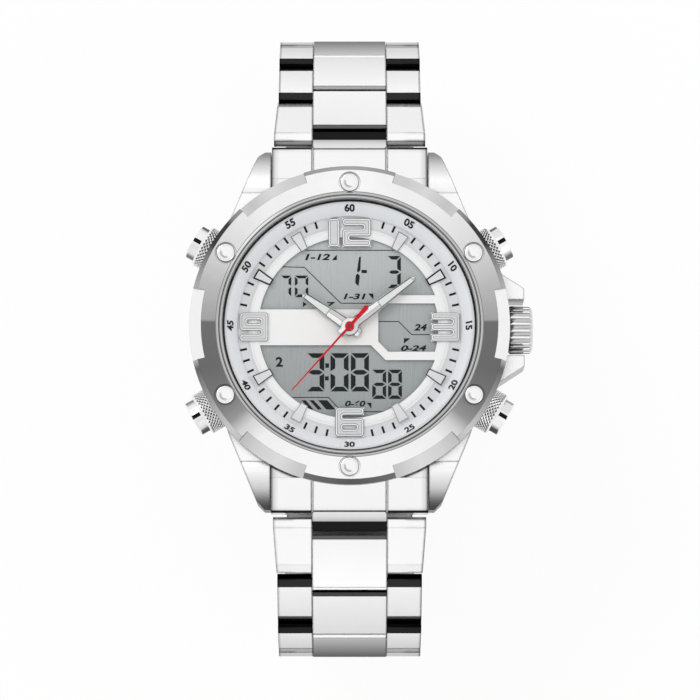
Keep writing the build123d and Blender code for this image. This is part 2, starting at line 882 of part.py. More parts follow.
# Pusher tubes, with knurled collars outside the case
pusher_tubes, pusher_springs = [], []
for angle in pusher_angles:
    axis = control_axis(angle)
    with BuildPart() as tube:
        rod(axis, collar_inner_reach, collar_outer_reach, collar_radius)
        with BuildSketch(axis.offset(collar_inner_reach)):
            with PolarLocations(collar_radius, collar_grooves):
                Circle(collar_groove_radius)
        extrude(amount=collar_outer_reach - collar_inner_reach, mode=Mode.SUBTRACT)
        rod(axis, spigot_inner_reach, collar_inner_reach, spigot_radius)
        rod(axis, cap_bore_floor, collar_outer_reach, cap_radius + running_fit, Mode.SUBTRACT)
        rod(axis, spring_seat_reach, cap_bore_floor, spring_bore_radius, Mode.SUBTRACT)
        rod(axis, spigot_inner_reach, spring_seat_reach, pusher_stem_radius + running_fit, Mode.SUBTRACT)
    pusher_tubes.append(tube)
    with BuildPart() as spring:
        with BuildLine():
            coil = Helix(spring_length / spring_turns, spring_length, spring_coil_radius)
        with BuildSketch(Plane(origin=coil @ 0, z_dir=coil % 0)):
            Circle(spring_wire_radius)
        sweep()
    spring_start = axis.offset(spring_seat_reach + spring_wire_radius + seat_gap)
    spring.part = spring_start.location * spring.part
    pusher_springs.append(spring)
write("pusher_tubes", *pusher_tubes)
write("pusher_springs", *pusher_springs)

# Pushers: a slotted cap on a stem, and the clip that keeps the stem in
for number, angle in enumerate(pusher_angles):
    axis = control_axis(angle)
    with BuildPart() as cap:
        rod(axis, cap_inner_reach, cap_outer_reach, cap_radius)
        outer_face = cap.faces().filter_by(GeomType.PLANE).sort_by(SortBy.DISTANCE)[-1]
        fillet(outer_face.edges(), cap_edge)
        block(
            axis.offset(cap_outer_reach - cap_slot_depth), cap_slot_depth, (0, 0),
            2 * cap_radius + overrun, cap_slot_width, Mode.SUBTRACT,
        )
        rod(axis, pusher_stem_inner_reach, cap_inner_reach, pusher_stem_radius)
        with BuildSketch(axis.offset(pusher_clip_place)):
            Circle(pusher_stem_radius + overrun)
            Circle(pusher_stem_radius - spring_wire_radius, mode=Mode.SUBTRACT)
        extrude(amount=pusher_clip_thickness, mode=Mode.SUBTRACT)
    with BuildPart() as clip:
        with BuildSketch(axis.offset(pusher_clip_place)):
            Circle(pusher_clip_radius)
            Circle(pusher_stem_radius - spring_wire_radius, mode=Mode.SUBTRACT)
        extrude(amount=pusher_clip_thickness)
    write(f"pusher_{number + 1}", cap, clip)

# Spring bars through the end links and into the lugs
spring_bars = []
for end in (-1, 1):
    bar_axis = Plane(origin=(0, end * bar_reach, head_rise + bar_height), z_dir=(1, 0, 0))
    with BuildPart() as spring_bar:
        rod(bar_axis, -bar_half, bar_half, bar_radius)
        rod(bar_axis, -bar_tip_half, bar_tip_half, bar_tip_radius)
    spring_bars.append(spring_bar)
write("spring_bars", *spring_bars)

# End links, with the bridge that carries the first hinge pin
end_links = []
for end in (-1, 1):
    near = end * end_link_near_reach
    far = end * (first_pin_reach - knuckle_overhang - link_gap)
    tip = end * (first_pin_reach + knuckle_overhang)
    with BuildPart() as end_link:
        with BuildSketch(side_section):
            outline(
                [
                    (near, end_link_near_floor),
                    (near, end_link_top),
                    (end * case_radius, end_link_top),
                    (far - end * end_link_edge, end_link_far_top + end_link_edge / 2),
                    (far, end_link_far_top - end_link_edge / 2),
                    (far, end_link_far_floor),
                    (end * (bar_reach - bar_radius), end_link_near_floor),
                ]
            )
        extrude(amount=end_link_half, both=True)
        with BuildSketch(side_section):
            with BuildLine():
                Polyline(
                    (end * first_pin_reach, first_pin_height - knuckle_overhang),
                    (end * bridge_near_reach, first_pin_height - knuckle_overhang - row_gap),
                    (end * bridge_near_reach, bridge_near_top),
                    (tip - end * bridge_bevel, first_pin_height + knuckle_overhang + bridge_bevel_drop / 2),
                    (tip, first_pin_height + bridge_bevel_drop),
                    (tip, first_pin_height),
                )
                arc_start = 0 if end > 0 else 180
                CenterArc((end * first_pin_reach, first_pin_height), knuckle_overhang, arc_start, -90 * end)
            make_face()
        extrude(amount=link_centre_half, both=True)
        with BuildSketch(level(0)):
            Circle(case_radius + case_gap)
        extrude(amount=case_top, mode=Mode.SUBTRACT)
        for side in (-1, 1):
            slab(
                Plane(origin=(side * link_centre_half, 0, head_rise), x_dir=(0, 1, 0), z_dir=(1, 0, 0)),
                bridge_groove_width / 2,
                [
                    (end * case_radius, end_link_top - bridge_groove_depth),
                    (far, end_link_far_top - bridge_groove_depth),
                    (far, case_top),
                    (end * case_radius, case_top),
                ],
                Mode.SUBTRACT,
                both=True,
            )
        with BuildSketch(side_section):
            with Locations((end * bar_reach, bar_height)):
                Circle(bar_radius + running_fit)
            with Locations((end * first_pin_reach, first_pin_height)):
                Circle(hinge_pin_radius + running_fit)
        extrude(amount=end_link_half + overrun, both=True, mode=Mode.SUBTRACT)
    end_links.append(end_link)
write("end_links", *end_links)

# Module frame, with pockets for the two cells
with BuildPart() as module_frame:
    turned(
        [
            (0, web_floor),
            (0, web_top),
            (board_ledge_radius, web_top),
            (board_ledge_radius, board_ledge_top),
            (frame_inner_radius, board_ledge_top),
            (frame_inner_radius, frame_top),
            (frame_radius, frame_top),
            (frame_radius, frame_floor),
            (frame_inner_radius, frame_floor),
            (frame_inner_radius, web_floor),
        ]
    )
    for place, radius in ((main_cell_place, main_cell_radius), (small_cell_place, small_cell_radius)):
        disc(place, web_floor, web_floor + cell_height + pocket_gap, radius + pocket_gap, Mode.SUBTRACT)
    for angle in pusher_angles:
        window = control_axis(angle).offset(stem_window_reach)
        block(window, frame_radius, (0, 0), 2 * stem_window_half, 2 * stem_window_half, Mode.SUBTRACT)
    rod(
        control_axis(0), plate_radius, frame_radius + overrun,
        stem_radius + push_fit + running_fit, Mode.SUBTRACT,
    )
write("module_frame", module_frame)

# Cells and the spring strap that holds them
cells = []
for place, radius in ((main_cell_place, main_cell_radius), (small_cell_place, small_cell_radius)):
    with BuildPart() as cell:
        cap_floor = web_floor + cell_height - cell_cap_height
        disc(place, web_floor, cap_floor, radius)
        disc(place, cap_floor, cap_floor + cell_cap_height, radius * cell_cap_share)
    cells.append(cell)
write("button_cells", *cells)

with BuildPart() as battery_strap:
    middle = sum(strap_ends) / 2
    block(level(strap_floor), strap_thickness, (0, middle), 2 * strap_half, strap_ends[1] - strap_ends[0])
    fillet(battery_strap.edges().filter_by(Axis.Z), strap_half / 2)
    disc(main_cell_place, strap_floor, strap_floor + strap_thickness, strap_half / 2, Mode.SUBTRACT)
    disc(small_cell_place, strap_floor, strap_floor + strap_thickness, strap_half / 2, Mode.SUBTRACT)
write("battery_strap", battery_strap)

# Circuit board with its chip, and the rubber strips that join it to the display
with BuildPart() as board:
    disc((0, 0), board_floor, board_floor + board_thickness, board_radius)
    disc((0, 0), board_floor, board_floor + board_thickness, board_hole_radius, Mode.SUBTRACT)
with BuildPart() as chip:
    block(level(board_floor - chip_height), chip_height, chip_place, chip_size, chip_size)
write("circuit_board", board, chip)

strips = []
strip_height = lcd_floor - board_floor - board_thickness
for end in (-1, 1):
    with BuildPart() as strip:
        block(
            level(board_floor + board_thickness), strip_height, (0, end * strip_reach),
            2 * strip_half_length, strip_width,
        )
    strips.append(strip)
write("lcd_connectors", *strips)

# Display: the glass cell, and the light guide behind it
with BuildPart() as lcd_glass:
    disc((0, 0), lcd_floor, lcd_floor + lcd_thickness, lcd_radius)
    disc((0, 0), lcd_floor, lcd_floor + lcd_thickness, board_hole_radius, Mode.SUBTRACT)
with BuildPart() as light_guide:
    light_guide_top = light_guide_floor + light_guide_thickness
    disc((0, 0), light_guide_floor, light_guide_top, light_guide_radius)
    disc((0, 0), light_guide_floor, light_guide_top, board_hole_radius, Mode.SUBTRACT)
write("lcd_panel", lcd_glass, light_guide)


def polar(distance, angle):
    """The place at a distance from the hand axis and an angle from 3 o'clock."""
    return (distance * cos(radians(angle)), distance * sin(radians(angle)))


def mesh_distance(mesh):
    """The distance between the axes of two wheels that drive each other."""
    driving, driven, tooth = mesh
    return (driving + driven) / 2 * tooth


def away(place, distance, angle):
    """A place at a distance and an angle from another."""
    across, along = polar(distance, angle)
    return (place[0] + across, place[1] + along)


def wheel(centre, floor, thickness, teeth, tooth, start_angle):
    """A toothed wheel, with one tooth at start_angle."""
    tip = tooth * (teeth / 2 + tooth_tip_share)
    root = tooth * (teeth / 2 - tooth_root_share)
    pitch_arc = tooth * pi
    with BuildSketch(level(floor)) as section:
        with Locations(centre):
            Circle(root)
            with PolarLocations(0, teeth, start_angle=start_angle):
                Polygon(
                    (root / 2, -pitch_arc * tooth_base_share),
                    (root, -pitch_arc * tooth_base_share),
                    (tip, -pitch_arc * tooth_crest_share),
                    (tip, pitch_arc * tooth_crest_share),
                    (root, pitch_arc * tooth_base_share),
                    (root / 2, pitch_arc * tooth_base_share),
                    align=None,
                )
    extrude(section.sketch, amount=thickness)


def gap_angle(angle, teeth):
    """The start angle that turns the gap between two teeth towards an angle."""
    return angle + 180 / teeth


# Train of the hands. Places follow from the meshes, and the tooth size of the third mesh too
third_mesh = (*third_teeth, 2 * mesh_distance(second_mesh) / sum(third_teeth))
step_place = polar(mesh_distance(step_mesh), step_angle)
rotor_place = away(step_place, mesh_distance(rotor_mesh), rotor_angle)
third_place = polar(mesh_distance(second_mesh), third_angle)
minute_wheel_place = polar(mesh_distance(cannon_mesh), minute_wheel_angle)
centre = (0, 0)

with BuildPart() as rotor:
    disc(rotor_place, rotor_height, rotor_height + rotor_thickness, rotor_radius)
    wheel(
        rotor_place, step_wheel_height - push_fit, pinion_thickness, rotor_mesh[0], rotor_mesh[2],
        rotor_angle,
    )
    disc(rotor_place, bridge_plate_floor + push_fit, main_plate_floor + push_fit, pivot_radius)
write("rotor", rotor)

with BuildPart() as step_wheel:
    wheel(
        step_place, step_wheel_height, wheel_thickness, rotor_mesh[1], rotor_mesh[2],
        gap_angle(rotor_angle, rotor_mesh[1]),
    )
    wheel(
        step_place, second_wheel_height - push_fit, step_wheel_height - second_wheel_height + push_fit,
        step_mesh[0], step_mesh[2], step_angle,
    )
    disc(step_place, bridge_plate_floor + push_fit, main_plate_floor + push_fit, pivot_radius)
write("step_wheel", step_wheel)

with BuildPart() as second_wheel:
    wheel(
        centre, second_wheel_height, wheel_thickness, step_mesh[1], step_mesh[2],
        gap_angle(step_angle, step_mesh[1]),
    )
    wheel(
        centre, second_wheel_height + wheel_thickness,
        step_wheel_height - seat_gap - second_wheel_height - wheel_thickness,
        second_mesh[0], second_mesh[2], third_angle,
    )
    disc(centre, bridge_plate_floor + push_fit, second_hand_height + hand_thickness, second_arbor_radius)
write("second_wheel", second_wheel)

with BuildPart() as third_wheel:
    wheel(
        third_place, third_wheel_height, wheel_thickness, second_mesh[1], second_mesh[2],
        gap_angle(third_angle + 180, second_mesh[1]),
    )
    wheel(
        third_place, third_wheel_height + wheel_thickness,
        main_plate_floor - seat_gap - third_wheel_height - wheel_thickness,
        third_mesh[0], third_mesh[2], third_angle + 180,
    )
    disc(third_place, bridge_plate_floor + push_fit, main_plate_floor + push_fit, pivot_radius)
write("third_wheel", third_wheel)

with BuildPart() as centre_wheel:
    wheel(
        centre, centre_wheel_height, wheel_thickness, third_mesh[1], third_mesh[2],
        gap_angle(third_angle, third_mesh[1]),
    )
    disc(centre, centre_wheel_height, hour_wheel_height, centre_tube_radius)
    disc(centre, centre_wheel_height, hour_wheel_height, second_arbor_radius + running_fit, Mode.SUBTRACT)
write("centre_wheel", centre_wheel)

with BuildPart() as cannon_pinion:
    wheel(
        centre, cannon_pinion_height, hour_wheel_height - seat_gap - cannon_pinion_height,
        cannon_mesh[0], cannon_mesh[2], minute_wheel_angle,
    )
    disc(centre, cannon_pinion_height, minute_hand_height + hand_thickness, minute_tube_radius)
    disc(centre, cannon_pinion_height, hour_wheel_height, centre_tube_radius + push_fit, Mode.SUBTRACT)
    disc(
        centre, cannon_pinion_height, minute_hand_height + hand_thickness,
        second_arbor_radius + running_fit, Mode.SUBTRACT,
    )
write("cannon_pinion", cannon_pinion)

with BuildPart() as minute_wheel:
    wheel(
        minute_wheel_place, minute_wheel_height, wheel_thickness, cannon_mesh[1], cannon_mesh[2],
        gap_angle(minute_wheel_angle + 180, cannon_mesh[1]),
    )
    wheel(
        minute_wheel_place, minute_wheel_height + wheel_thickness,
        board_floor - seat_gap - minute_wheel_height - wheel_thickness,
        minute_mesh[0], minute_mesh[2], minute_wheel_angle + 180,
    )
    disc(
        minute_wheel_place, minute_wheel_height, board_floor, pivot_radius + running_fit, Mode.SUBTRACT
    )
write("minute_wheel", minute_wheel)

with BuildPart() as hour_wheel:
    wheel(
        centre, hour_wheel_height, wheel_thickness, minute_mesh[1], minute_mesh[2],
        gap_angle(minute_wheel_angle, minute_mesh[1]),
    )
    disc(centre, hour_wheel_height, hour_hand_height + hand_thickness, hour_tube_radius)
    disc(
        centre, hour_wheel_height, hour_hand_height + hand_thickness,
        minute_tube_radius + running_fit, Mode.SUBTRACT,
    )
write("hour_wheel", hour_wheel)

# Plates that carry the train
with BuildPart() as train_bridge:
    disc(centre, bridge_plate_floor, bridge_top, plate_radius)
    for place in (rotor_place, step_place, third_place):
        disc(place, bridge_plate_floor, bridge_top, pivot_radius + running_fit, Mode.SUBTRACT)
    disc(centre, bridge_plate_floor, bridge_top, second_arbor_radius + running_fit, Mode.SUBTRACT)
with BuildPart() as main_plate:
    disc(centre, main_plate_floor, main_plate_floor + main_plate_thickness, plate_radius)
    for angle in pillar_angles:
        disc(polar(pillar_circle, angle), bridge_top, main_plate_floor, pillar_radius)
    disc(
        minute_wheel_place, main_plate_floor + main_plate_thickness, board_floor - seat_gap, pivot_radius
    )
    for place in (rotor_place, step_place, third_place):
        disc(
            place, main_plate_floor, main_plate_floor + main_plate_thickness / 2,
            pivot_radius + running_fit, Mode.SUBTRACT,
        )
    disc(
        centre, main_plate_floor, main_plate_floor + main_plate_thickness,
        centre_tube_radius + running_fit, Mode.SUBTRACT,
    )
write("movement_plates", train_bridge, main_plate)

# Stepping motor: the stator with the rotor's hole, and the coil on its core
inner_leg = stator_half - stator_leg
stator_neck = rotor_place[1]
with BuildPart() as stator:
    with BuildSketch(level(stator_floor)):
        outline(
            [
                (-stator_half, stator_place + core_width),
                (-stator_half, stator_neck + stator_leg),
                (rotor_place[0] - stator_ring, stator_neck - stator_foot),
                (rotor_place[0] + stator_ring, stator_neck - stator_foot),
                (stator_half, stator_neck + stator_leg),
                (stator_half, stator_place + core_width),
                (inner_leg, stator_place + core_width),
                (inner_leg, stator_place - stator_shoulder),
                (rotor_place[0] + stator_hole_radius, stator_neck + stator_ring),
                (rotor_place[0] - stator_hole_radius, stator_neck + stator_ring),
                (-inner_leg, stator_place - stator_shoulder),
                (-inner_leg, stator_place + core_width),
            ]
        )
        with Locations(rotor_place):
            Circle(stator_hole_radius, mode=Mode.SUBTRACT)
    extrude(amount=stator_thickness)
core_floor = stator_floor + stator_thickness
core_middle = core_floor + core_height / 2
coil_axis = Plane(origin=(0, stator_place, head_rise + core_middle), z_dir=(1, 0, 0))
with BuildPart() as coil:
    rod(coil_axis, -coil_half, coil_half, coil_radius)
    block(level(core_floor), core_height, (0, stator_place), 2 * stator_half, core_width, Mode.SUBTRACT)
with BuildPart() as core:
    block(level(core_floor), core_height, (0, stator_place), 2 * stator_half, core_width)
write("stepper_motor", stator, coil, core)


def hand_shape(length, half, height, hole):
    """An open baton hand along 12 o'clock with a rounded tip, a hub and a short tail."""
    with BuildSketch(level(height)) as section:
        outline(
            [
                (-half * hand_tail_share, -hand_tail),
                (half * hand_tail_share, -hand_tail),
                (half, length * hand_slot_share),
                (hand_tip_half, length - hand_tip_half),
                (-hand_tip_half, length - hand_tip_half),
                (-half, length * hand_slot_share),
            ]
        )
        with Locations((0, length - hand_tip_half)):
            Circle(hand_tip_half)
        Circle(hub_radius)
        outline(
            [
                (half - hand_rim, length * hand_slot_share),
                (hand_tip_half - hand_rim / 2, length - hand_tip_half),
                (hand_rim / 2 - hand_tip_half, length - hand_tip_half),
                (hand_rim - half, length * hand_slot_share),
            ],
            mode=Mode.SUBTRACT,
        )
        Circle(hole, mode=Mode.SUBTRACT)
    extrude(section.sketch, amount=hand_thickness)


# Hands
with BuildPart() as hour_hand:
    hand_shape(hour_hand_length, hour_hand_half, hour_hand_height, hour_tube_radius)
hour_hand.part = hour_hand.part.rotate(Axis.Z, -hour_angle)
write("hour_hand", hour_hand)

with BuildPart() as minute_hand:
    hand_shape(minute_hand_length, minute_hand_half, minute_hand_height, minute_tube_radius)
minute_hand.part = minute_hand.part.rotate(Axis.Z, -minute_angle)
write("minute_hand", minute_hand)

with BuildPart() as second_hand:
    with BuildSketch(level(second_hand_height)):
        outline(
            [
                (-second_hand_half, 0),
                (-second_hand_half / 2, second_hand_length),
                (second_hand_half / 2, second_hand_length),
                (second_hand_half, 0),
                (second_tail_half, -second_tail + second_tail_half),
                (0, -second_tail),
                (-second_tail_half, -second_tail + second_tail_half),
            ]
        )
    extrude(amount=hand_thickness)
    disc(centre, second_hand_height, second_hand_height + second_boss_height, second_boss_radius)
    disc(
        centre, second_hand_height, second_hand_height + hand_thickness, second_arbor_radius, Mode.SUBTRACT
    )
second_hand.part = second_hand.part.rotate(Axis.Z, -second_angle)
write("second_hand", second_hand)


# Bracelet
pin_count = len(slopes_12)
half_thickness = link_thickness / 2
shoulder = half_thickness - knuckle_overhang
centre_start = knuckle_overhang + centre_gap
centre_end = link_pitch + knuckle_overhang
outer_end = link_pitch - knuckle_overhang - link_gap


def link_route(slopes, side):
    """The section plane of each link at its hinge pin, and the place of the last pin."""
    reach, height = first_pin_reach, head_rise + first_pin_height
    planes = []
    for slope in slopes:
        run, fall = cos(radians(slope)), sin(radians(slope))
        planes.append(
            Plane(origin=(0, side * reach, height), x_dir=(0, side * run, -fall), z_dir=(side, 0, 0))
        )
        reach += link_pitch * run
        height -= link_pitch * fall
    return planes, (side * reach, height)


def bracelet_half_width(pin):
    """Half the width of the bracelet at a hinge pin, counted from the lugs."""
    if pin == 0:
        return first_half_width
    narrowing = max(0, pin - even_links) / (pin_count - even_links)
    return band_half_width - (band_half_width - clasp_half_width) * narrowing


def knuckled(plane, points, pin, start, turn):
    """The section of a piece that a quarter round about a hinge pin closes."""
    with BuildSketch(plane) as section:
        with BuildLine() as border:
            Polyline(*points)
            CenterArc(pin, knuckle_overhang, start, turn)
        make_face(border.line)
    return section.sketch


def cross_bar(plane, place, half_length, radius, mode=Mode.ADD):
    """A round bar or bore through a section plane, equally long to both sides."""
    with BuildSketch(plane) as section:
        with Locations(place):
            Circle(radius)
    extrude(section.sketch, amount=half_length, both=True, mode=mode)


def centre_section(plane):
    """The side outline of a middle piece, with its knuckle at the far pin."""
    return knuckled(
        plane,
        [
            (link_pitch, -knuckle_overhang),
            (link_pitch - shoulder, -half_thickness),
            (centre_start + link_edge, -half_thickness),
            (centre_start, link_edge - half_thickness),
            (centre_start, half_thickness - centre_bevel_drop),
            (centre_start + centre_bevel, half_thickness),
            (centre_end - centre_bevel, half_thickness),
            (centre_end, half_thickness - centre_bevel_drop),
            (centre_end, 0),
        ],
        (link_pitch, 0),
        0,
        -90,
    )


def outer_section(plane):
    """The side outline of an outer piece, with its knuckle at the near pin."""
    return knuckled(
        plane,
        [
            (0, -knuckle_overhang),
            (shoulder, -half_thickness),
            (outer_end - link_edge, -half_thickness),
            (outer_end, link_edge - half_thickness),
            (outer_end, half_thickness - far_bevel_drop),
            (outer_end - far_bevel, half_thickness),
            (near_bevel - knuckle_overhang, half_thickness),
            (-knuckle_overhang, half_thickness - near_bevel_drop),
            (-knuckle_overhang, 0),
        ],
        (0, 0),
        180,
        90,
    )


def link_pieces(plane, near_half, far_half):
    """One link: the middle piece, the two outer pieces, the hinge pin and the fixed pin."""
    hinge, fixed = (0, 0), (fixed_pin_place, 0)
    fixed_half = near_half + (far_half - near_half) * fixed_pin_place / link_pitch
    with BuildPart() as middle_piece:
        extrude(centre_section(plane), amount=link_centre_half, both=True)
        cross_bar(plane, (link_pitch, 0), near_half, hinge_pin_radius + running_fit, Mode.SUBTRACT)
        cross_bar(plane, fixed, near_half, fixed_pin_radius + push_fit, Mode.SUBTRACT)
    pieces = [middle_piece]
    inner_half = link_centre_half + row_gap
    link_plan = Plane(origin=plane.origin, x_dir=plane.x_dir, z_dir=plane.y_dir)
    for hand in (-1, 1):
        with BuildPart() as outer_piece:
            side_plane = plane.offset(hand * inner_half)
            extrude(outer_section(side_plane), amount=hand * (near_half - inner_half))
            slab(
                link_plan,
                link_thickness,
                [
                    (-link_pitch, 0),
                    (-link_pitch, -hand * near_half),
                    (0, -hand * near_half),
                    (link_pitch, -hand * far_half),
                    (link_pitch, 0),
                ],
                Mode.INTERSECT,
                both=True,
            )
            cross_bar(plane, hinge, near_half + overrun, hinge_pin_radius + push_fit, Mode.SUBTRACT)
            cross_bar(plane, fixed, near_half + overrun, fixed_pin_radius + push_fit, Mode.SUBTRACT)
        pieces.append(outer_piece)
    for place, half_length, radius in (
        (hinge, near_half - pin_inset, hinge_pin_radius),
        (fixed, fixed_half - pin_inset, fixed_pin_radius),
    ):
        with BuildPart() as pin:
            cross_bar(plane, place, half_length, radius)
        pieces.append(pin)
    return pieces


# Links, numbered from the head, with the spring bar of the last one before the cover drawn in
last_pins = {}
for side_name, slopes, side in (("link_12", slopes_12, 1), ("link_6", slopes_6, -1)):
    planes, last_pins[side_name] = link_route(slopes, side)
    for number, plane in enumerate(planes):
        pieces = link_pieces(plane, bracelet_half_width(number), bracelet_half_width(number + 1))
        if side < 0 and number == pin_count - 1:
            with BuildPart() as clasp_bar:
                cross_bar(plane, (link_pitch, 0), link_centre_half - push_fit, hinge_pin_radius)
            pieces.append(clasp_bar)
        write(f"{side_name}_{number + 1}", *pieces)

# Clasp, in the plane of +Y and height over the floor
clasp_section = Plane(origin=(0, 0, 0), x_dir=(0, 1, 0), z_dir=(1, 0, 0))
blade_pin = last_pins["link_12"]
cover_pin = last_pins["link_6"]
fold_pin = (-fold_reach, blade_pin_height)
cover_hinge = (blade_pin[0] - cover_hinge_inset, blade_pin_height)
knuckle_room = blade_knuckle_radius + blade_gap
plate_start = knuckle_room - fold_reach
inner_floor = inner_blade_height - blade_thickness / 2
middle_floor = middle_blade_height - blade_thickness / 2


def side_bars(place, inner, outer, radius, mode=Mode.ADD):
    """A round bar or bore on either side, between two half widths of the clasp."""
    for hand in (-1, 1):
        with BuildSketch(clasp_section.offset(hand * inner)) as section:
            with Locations(place):
                Circle(radius)
        extrude(section.sketch, amount=hand * (outer - inner), mode=mode)


def side_blocks(inner, outer, start, end, floor, top, mode=Mode.ADD):
    """A squared block on either side, between two half widths of the clasp."""
    for hand in (-1, 1):
        block(
            Plane.XY.offset(floor), top - floor, (hand * (inner + outer) / 2, (start + end) / 2),
            outer - inner, end - start, mode,
        )


# Inner blade with the pins at both its ends
with BuildPart() as blade:
    side_blocks(0, fold_knuckle_half, -fold_reach, plate_start, inner_floor, inner_floor + blade_thickness)
    side_blocks(
        0, inner_blade_half, plate_start, blade_pin[0] - inner_end_gap,
        inner_floor, inner_floor + blade_thickness,
    )
    side_blocks(
        clasp_ear_inner, inner_blade_half, 0, blade_pin[0], inner_floor, inner_floor + blade_thickness
    )
    side_bars(blade_pin, clasp_ear_inner, inner_blade_half, inner_ear_radius)
    cross_bar(clasp_section, fold_pin, fold_knuckle_half, blade_knuckle_radius)
    side_blocks(
        latch_slot_inner, latch_slot_outer, -latch_slot_half, latch_slot_half,
        inner_floor, inner_floor + blade_thickness, Mode.SUBTRACT,
    )
    cross_bar(clasp_section, blade_pin, inner_blade_half, hinge_pin_radius + push_fit, Mode.SUBTRACT)
    cross_bar(clasp_section, fold_pin, fold_knuckle_half, blade_pin_radius + push_fit, Mode.SUBTRACT)
with BuildPart() as end_pin:
    cross_bar(clasp_section, blade_pin, inner_blade_half - push_fit, hinge_pin_radius)
with BuildPart() as hinge_pin:
    cross_bar(clasp_section, fold_pin, middle_knuckle_half - push_fit, blade_pin_radius)
write("inner_blade", blade, end_pin, hinge_pin)

# Middle blade, narrow where the latch passes
with BuildPart() as middle_blade:
    with BuildSketch(Plane.XY.offset(middle_floor)):
        for hand in (-1, 1):
            outline(
                [
                    (0, plate_start),
                    (hand * (fold_knuckle_half + blade_gap), plate_start),
                    (hand * (fold_knuckle_half + blade_gap), -fold_reach),
                    (hand * middle_knuckle_half, -fold_reach),
                    (hand * middle_knuckle_half, plate_start),
                    (hand * middle_blade_half, plate_start + knuckle_room),
                    (hand * middle_blade_half, -waist_half_length),
                    (hand * middle_blade_waist, -waist_half_length),
                    (hand * middle_blade_waist, waist_half_length),
                    (hand * middle_blade_half, waist_half_length),
                    (hand * middle_blade_half, cover_hinge[0]),
                    (hand * middle_ear_inner, cover_hinge[0]),
                    (hand * middle_ear_inner, cover_hinge[0] - middle_end_gap),
                    (0, cover_hinge[0] - middle_end_gap),
                ]
            )
    extrude(amount=blade_thickness)
    side_bars(fold_pin, fold_knuckle_half + blade_gap, middle_knuckle_half, blade_knuckle_radius)
    side_bars(cover_hinge, middle_ear_inner, middle_blade_half, blade_knuckle_radius)
    cross_bar(clasp_section, fold_pin, middle_blade_half, blade_pin_radius + running_fit, Mode.SUBTRACT)
    cross_bar(clasp_section, cover_hinge, middle_blade_half, blade_pin_radius + running_fit, Mode.SUBTRACT)
write("middle_blade", middle_blade)

# Cover of the clasp with its two rivets. Its flat is the watch's resting face
wall_outer = clasp_half_width + cover_wall / 2
wall_inner = wall_outer - cover_wall
cover_end = blade_pin[0] - cover_end_inset
cover_start = cover_pin[0] + cover_mouth
button_floor = middle_floor
with BuildPart() as cover:
    side_blocks(0, wall_outer, cover_start, cover_end, 0, cover_thickness)
    side_blocks(
        clasp_ear_inner, wall_outer, cover_pin[0], cover_pin[0] + cover_ear_length, 0, cover_thickness
    )
    side_blocks(wall_inner, wall_outer, cover_start, cover_end, 0, cover_wall_height)
    side_blocks(
        clasp_ear_inner, cover_ear_step, cover_pin[0], cover_pin[0] + cover_ear_radius, 0, cover_pin[1]
    )
    side_blocks(
        cover_ear_step, wall_outer, cover_pin[0], cover_pin[0] + cover_ear_length,
        0, cover_pin[1] + cover_ear_radius,
    )
    side_bars(cover_pin, clasp_ear_inner, wall_outer, cover_ear_radius)
    side_blocks(
        0, cover_notch_half, cover_hinge[0] - cover_notch_depth, cover_end,
        0, cover_thickness, Mode.SUBTRACT,
    )
    chamfer(cover.faces().sort_by(Axis.Z)[0].edges(), cover_edge)
    side_blocks(
        wall_inner, wall_outer, -clasp_button_half - running_fit, clasp_button_half + running_fit,
        button_floor - running_fit, button_floor + clasp_button_height + running_fit, Mode.SUBTRACT,
    )
    cross_bar(clasp_section, cover_pin, wall_outer, hinge_pin_radius + running_fit, Mode.SUBTRACT)
    cross_bar(clasp_section, cover_hinge, wall_outer, blade_pin_radius + push_fit, Mode.SUBTRACT)
rivets = []
for hand in (-1, 1):
    with BuildPart() as rivet:
        rod(
            Plane(origin=(0, *cover_hinge), z_dir=(hand, 0, 0)), middle_ear_inner, wall_outer - push_fit,
            blade_pin_radius,
        )
    rivets.append(rivet)
write("clasp_cover", cover, *rivets)

# Release buttons, each with its latch hook. The hook's catch stops short of the slot's rim
hook_top = inner_floor + blade_thickness + hook_rise
for name, hand in (("clasp_button_left", -1), ("clasp_button_right", 1)):
    with BuildPart() as button:
        for inner, outer, half_length, floor, top in (
            (wall_inner, wall_outer + clasp_button_depth, clasp_button_half, button_floor,
             button_floor + clasp_button_height),
            (hook_inner, wall_inner, hook_half, button_floor, button_floor + blade_thickness),
            (hook_inner, hook_inner + hook_stem, hook_half, button_floor, hook_top + hook_head),
            (hook_inner, latch_slot_outer - hook_rise, hook_half, hook_top, hook_top + hook_head),
        ):
            block(
                Plane.XY.offset(floor), top - floor, (hand * (inner + outer) / 2, 0),
                outer - inner, 2 * half_length,
            )
    write(name, button)
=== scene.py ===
"""The look of a steel wristwatch with three hands over a liquid crystal display.

Everything is in metres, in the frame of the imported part: +Z out of the dial, +Y to 12 o'clock,
+X to the crown. Places read off the photograph are pixels of its 700 by 700 frame, and at_pixel
turns them into points on a level plane of the watch.
"""

from math import cos, hypot, pi, radians, sin

import bmesh
import bpy
from mathutils import Matrix, Vector


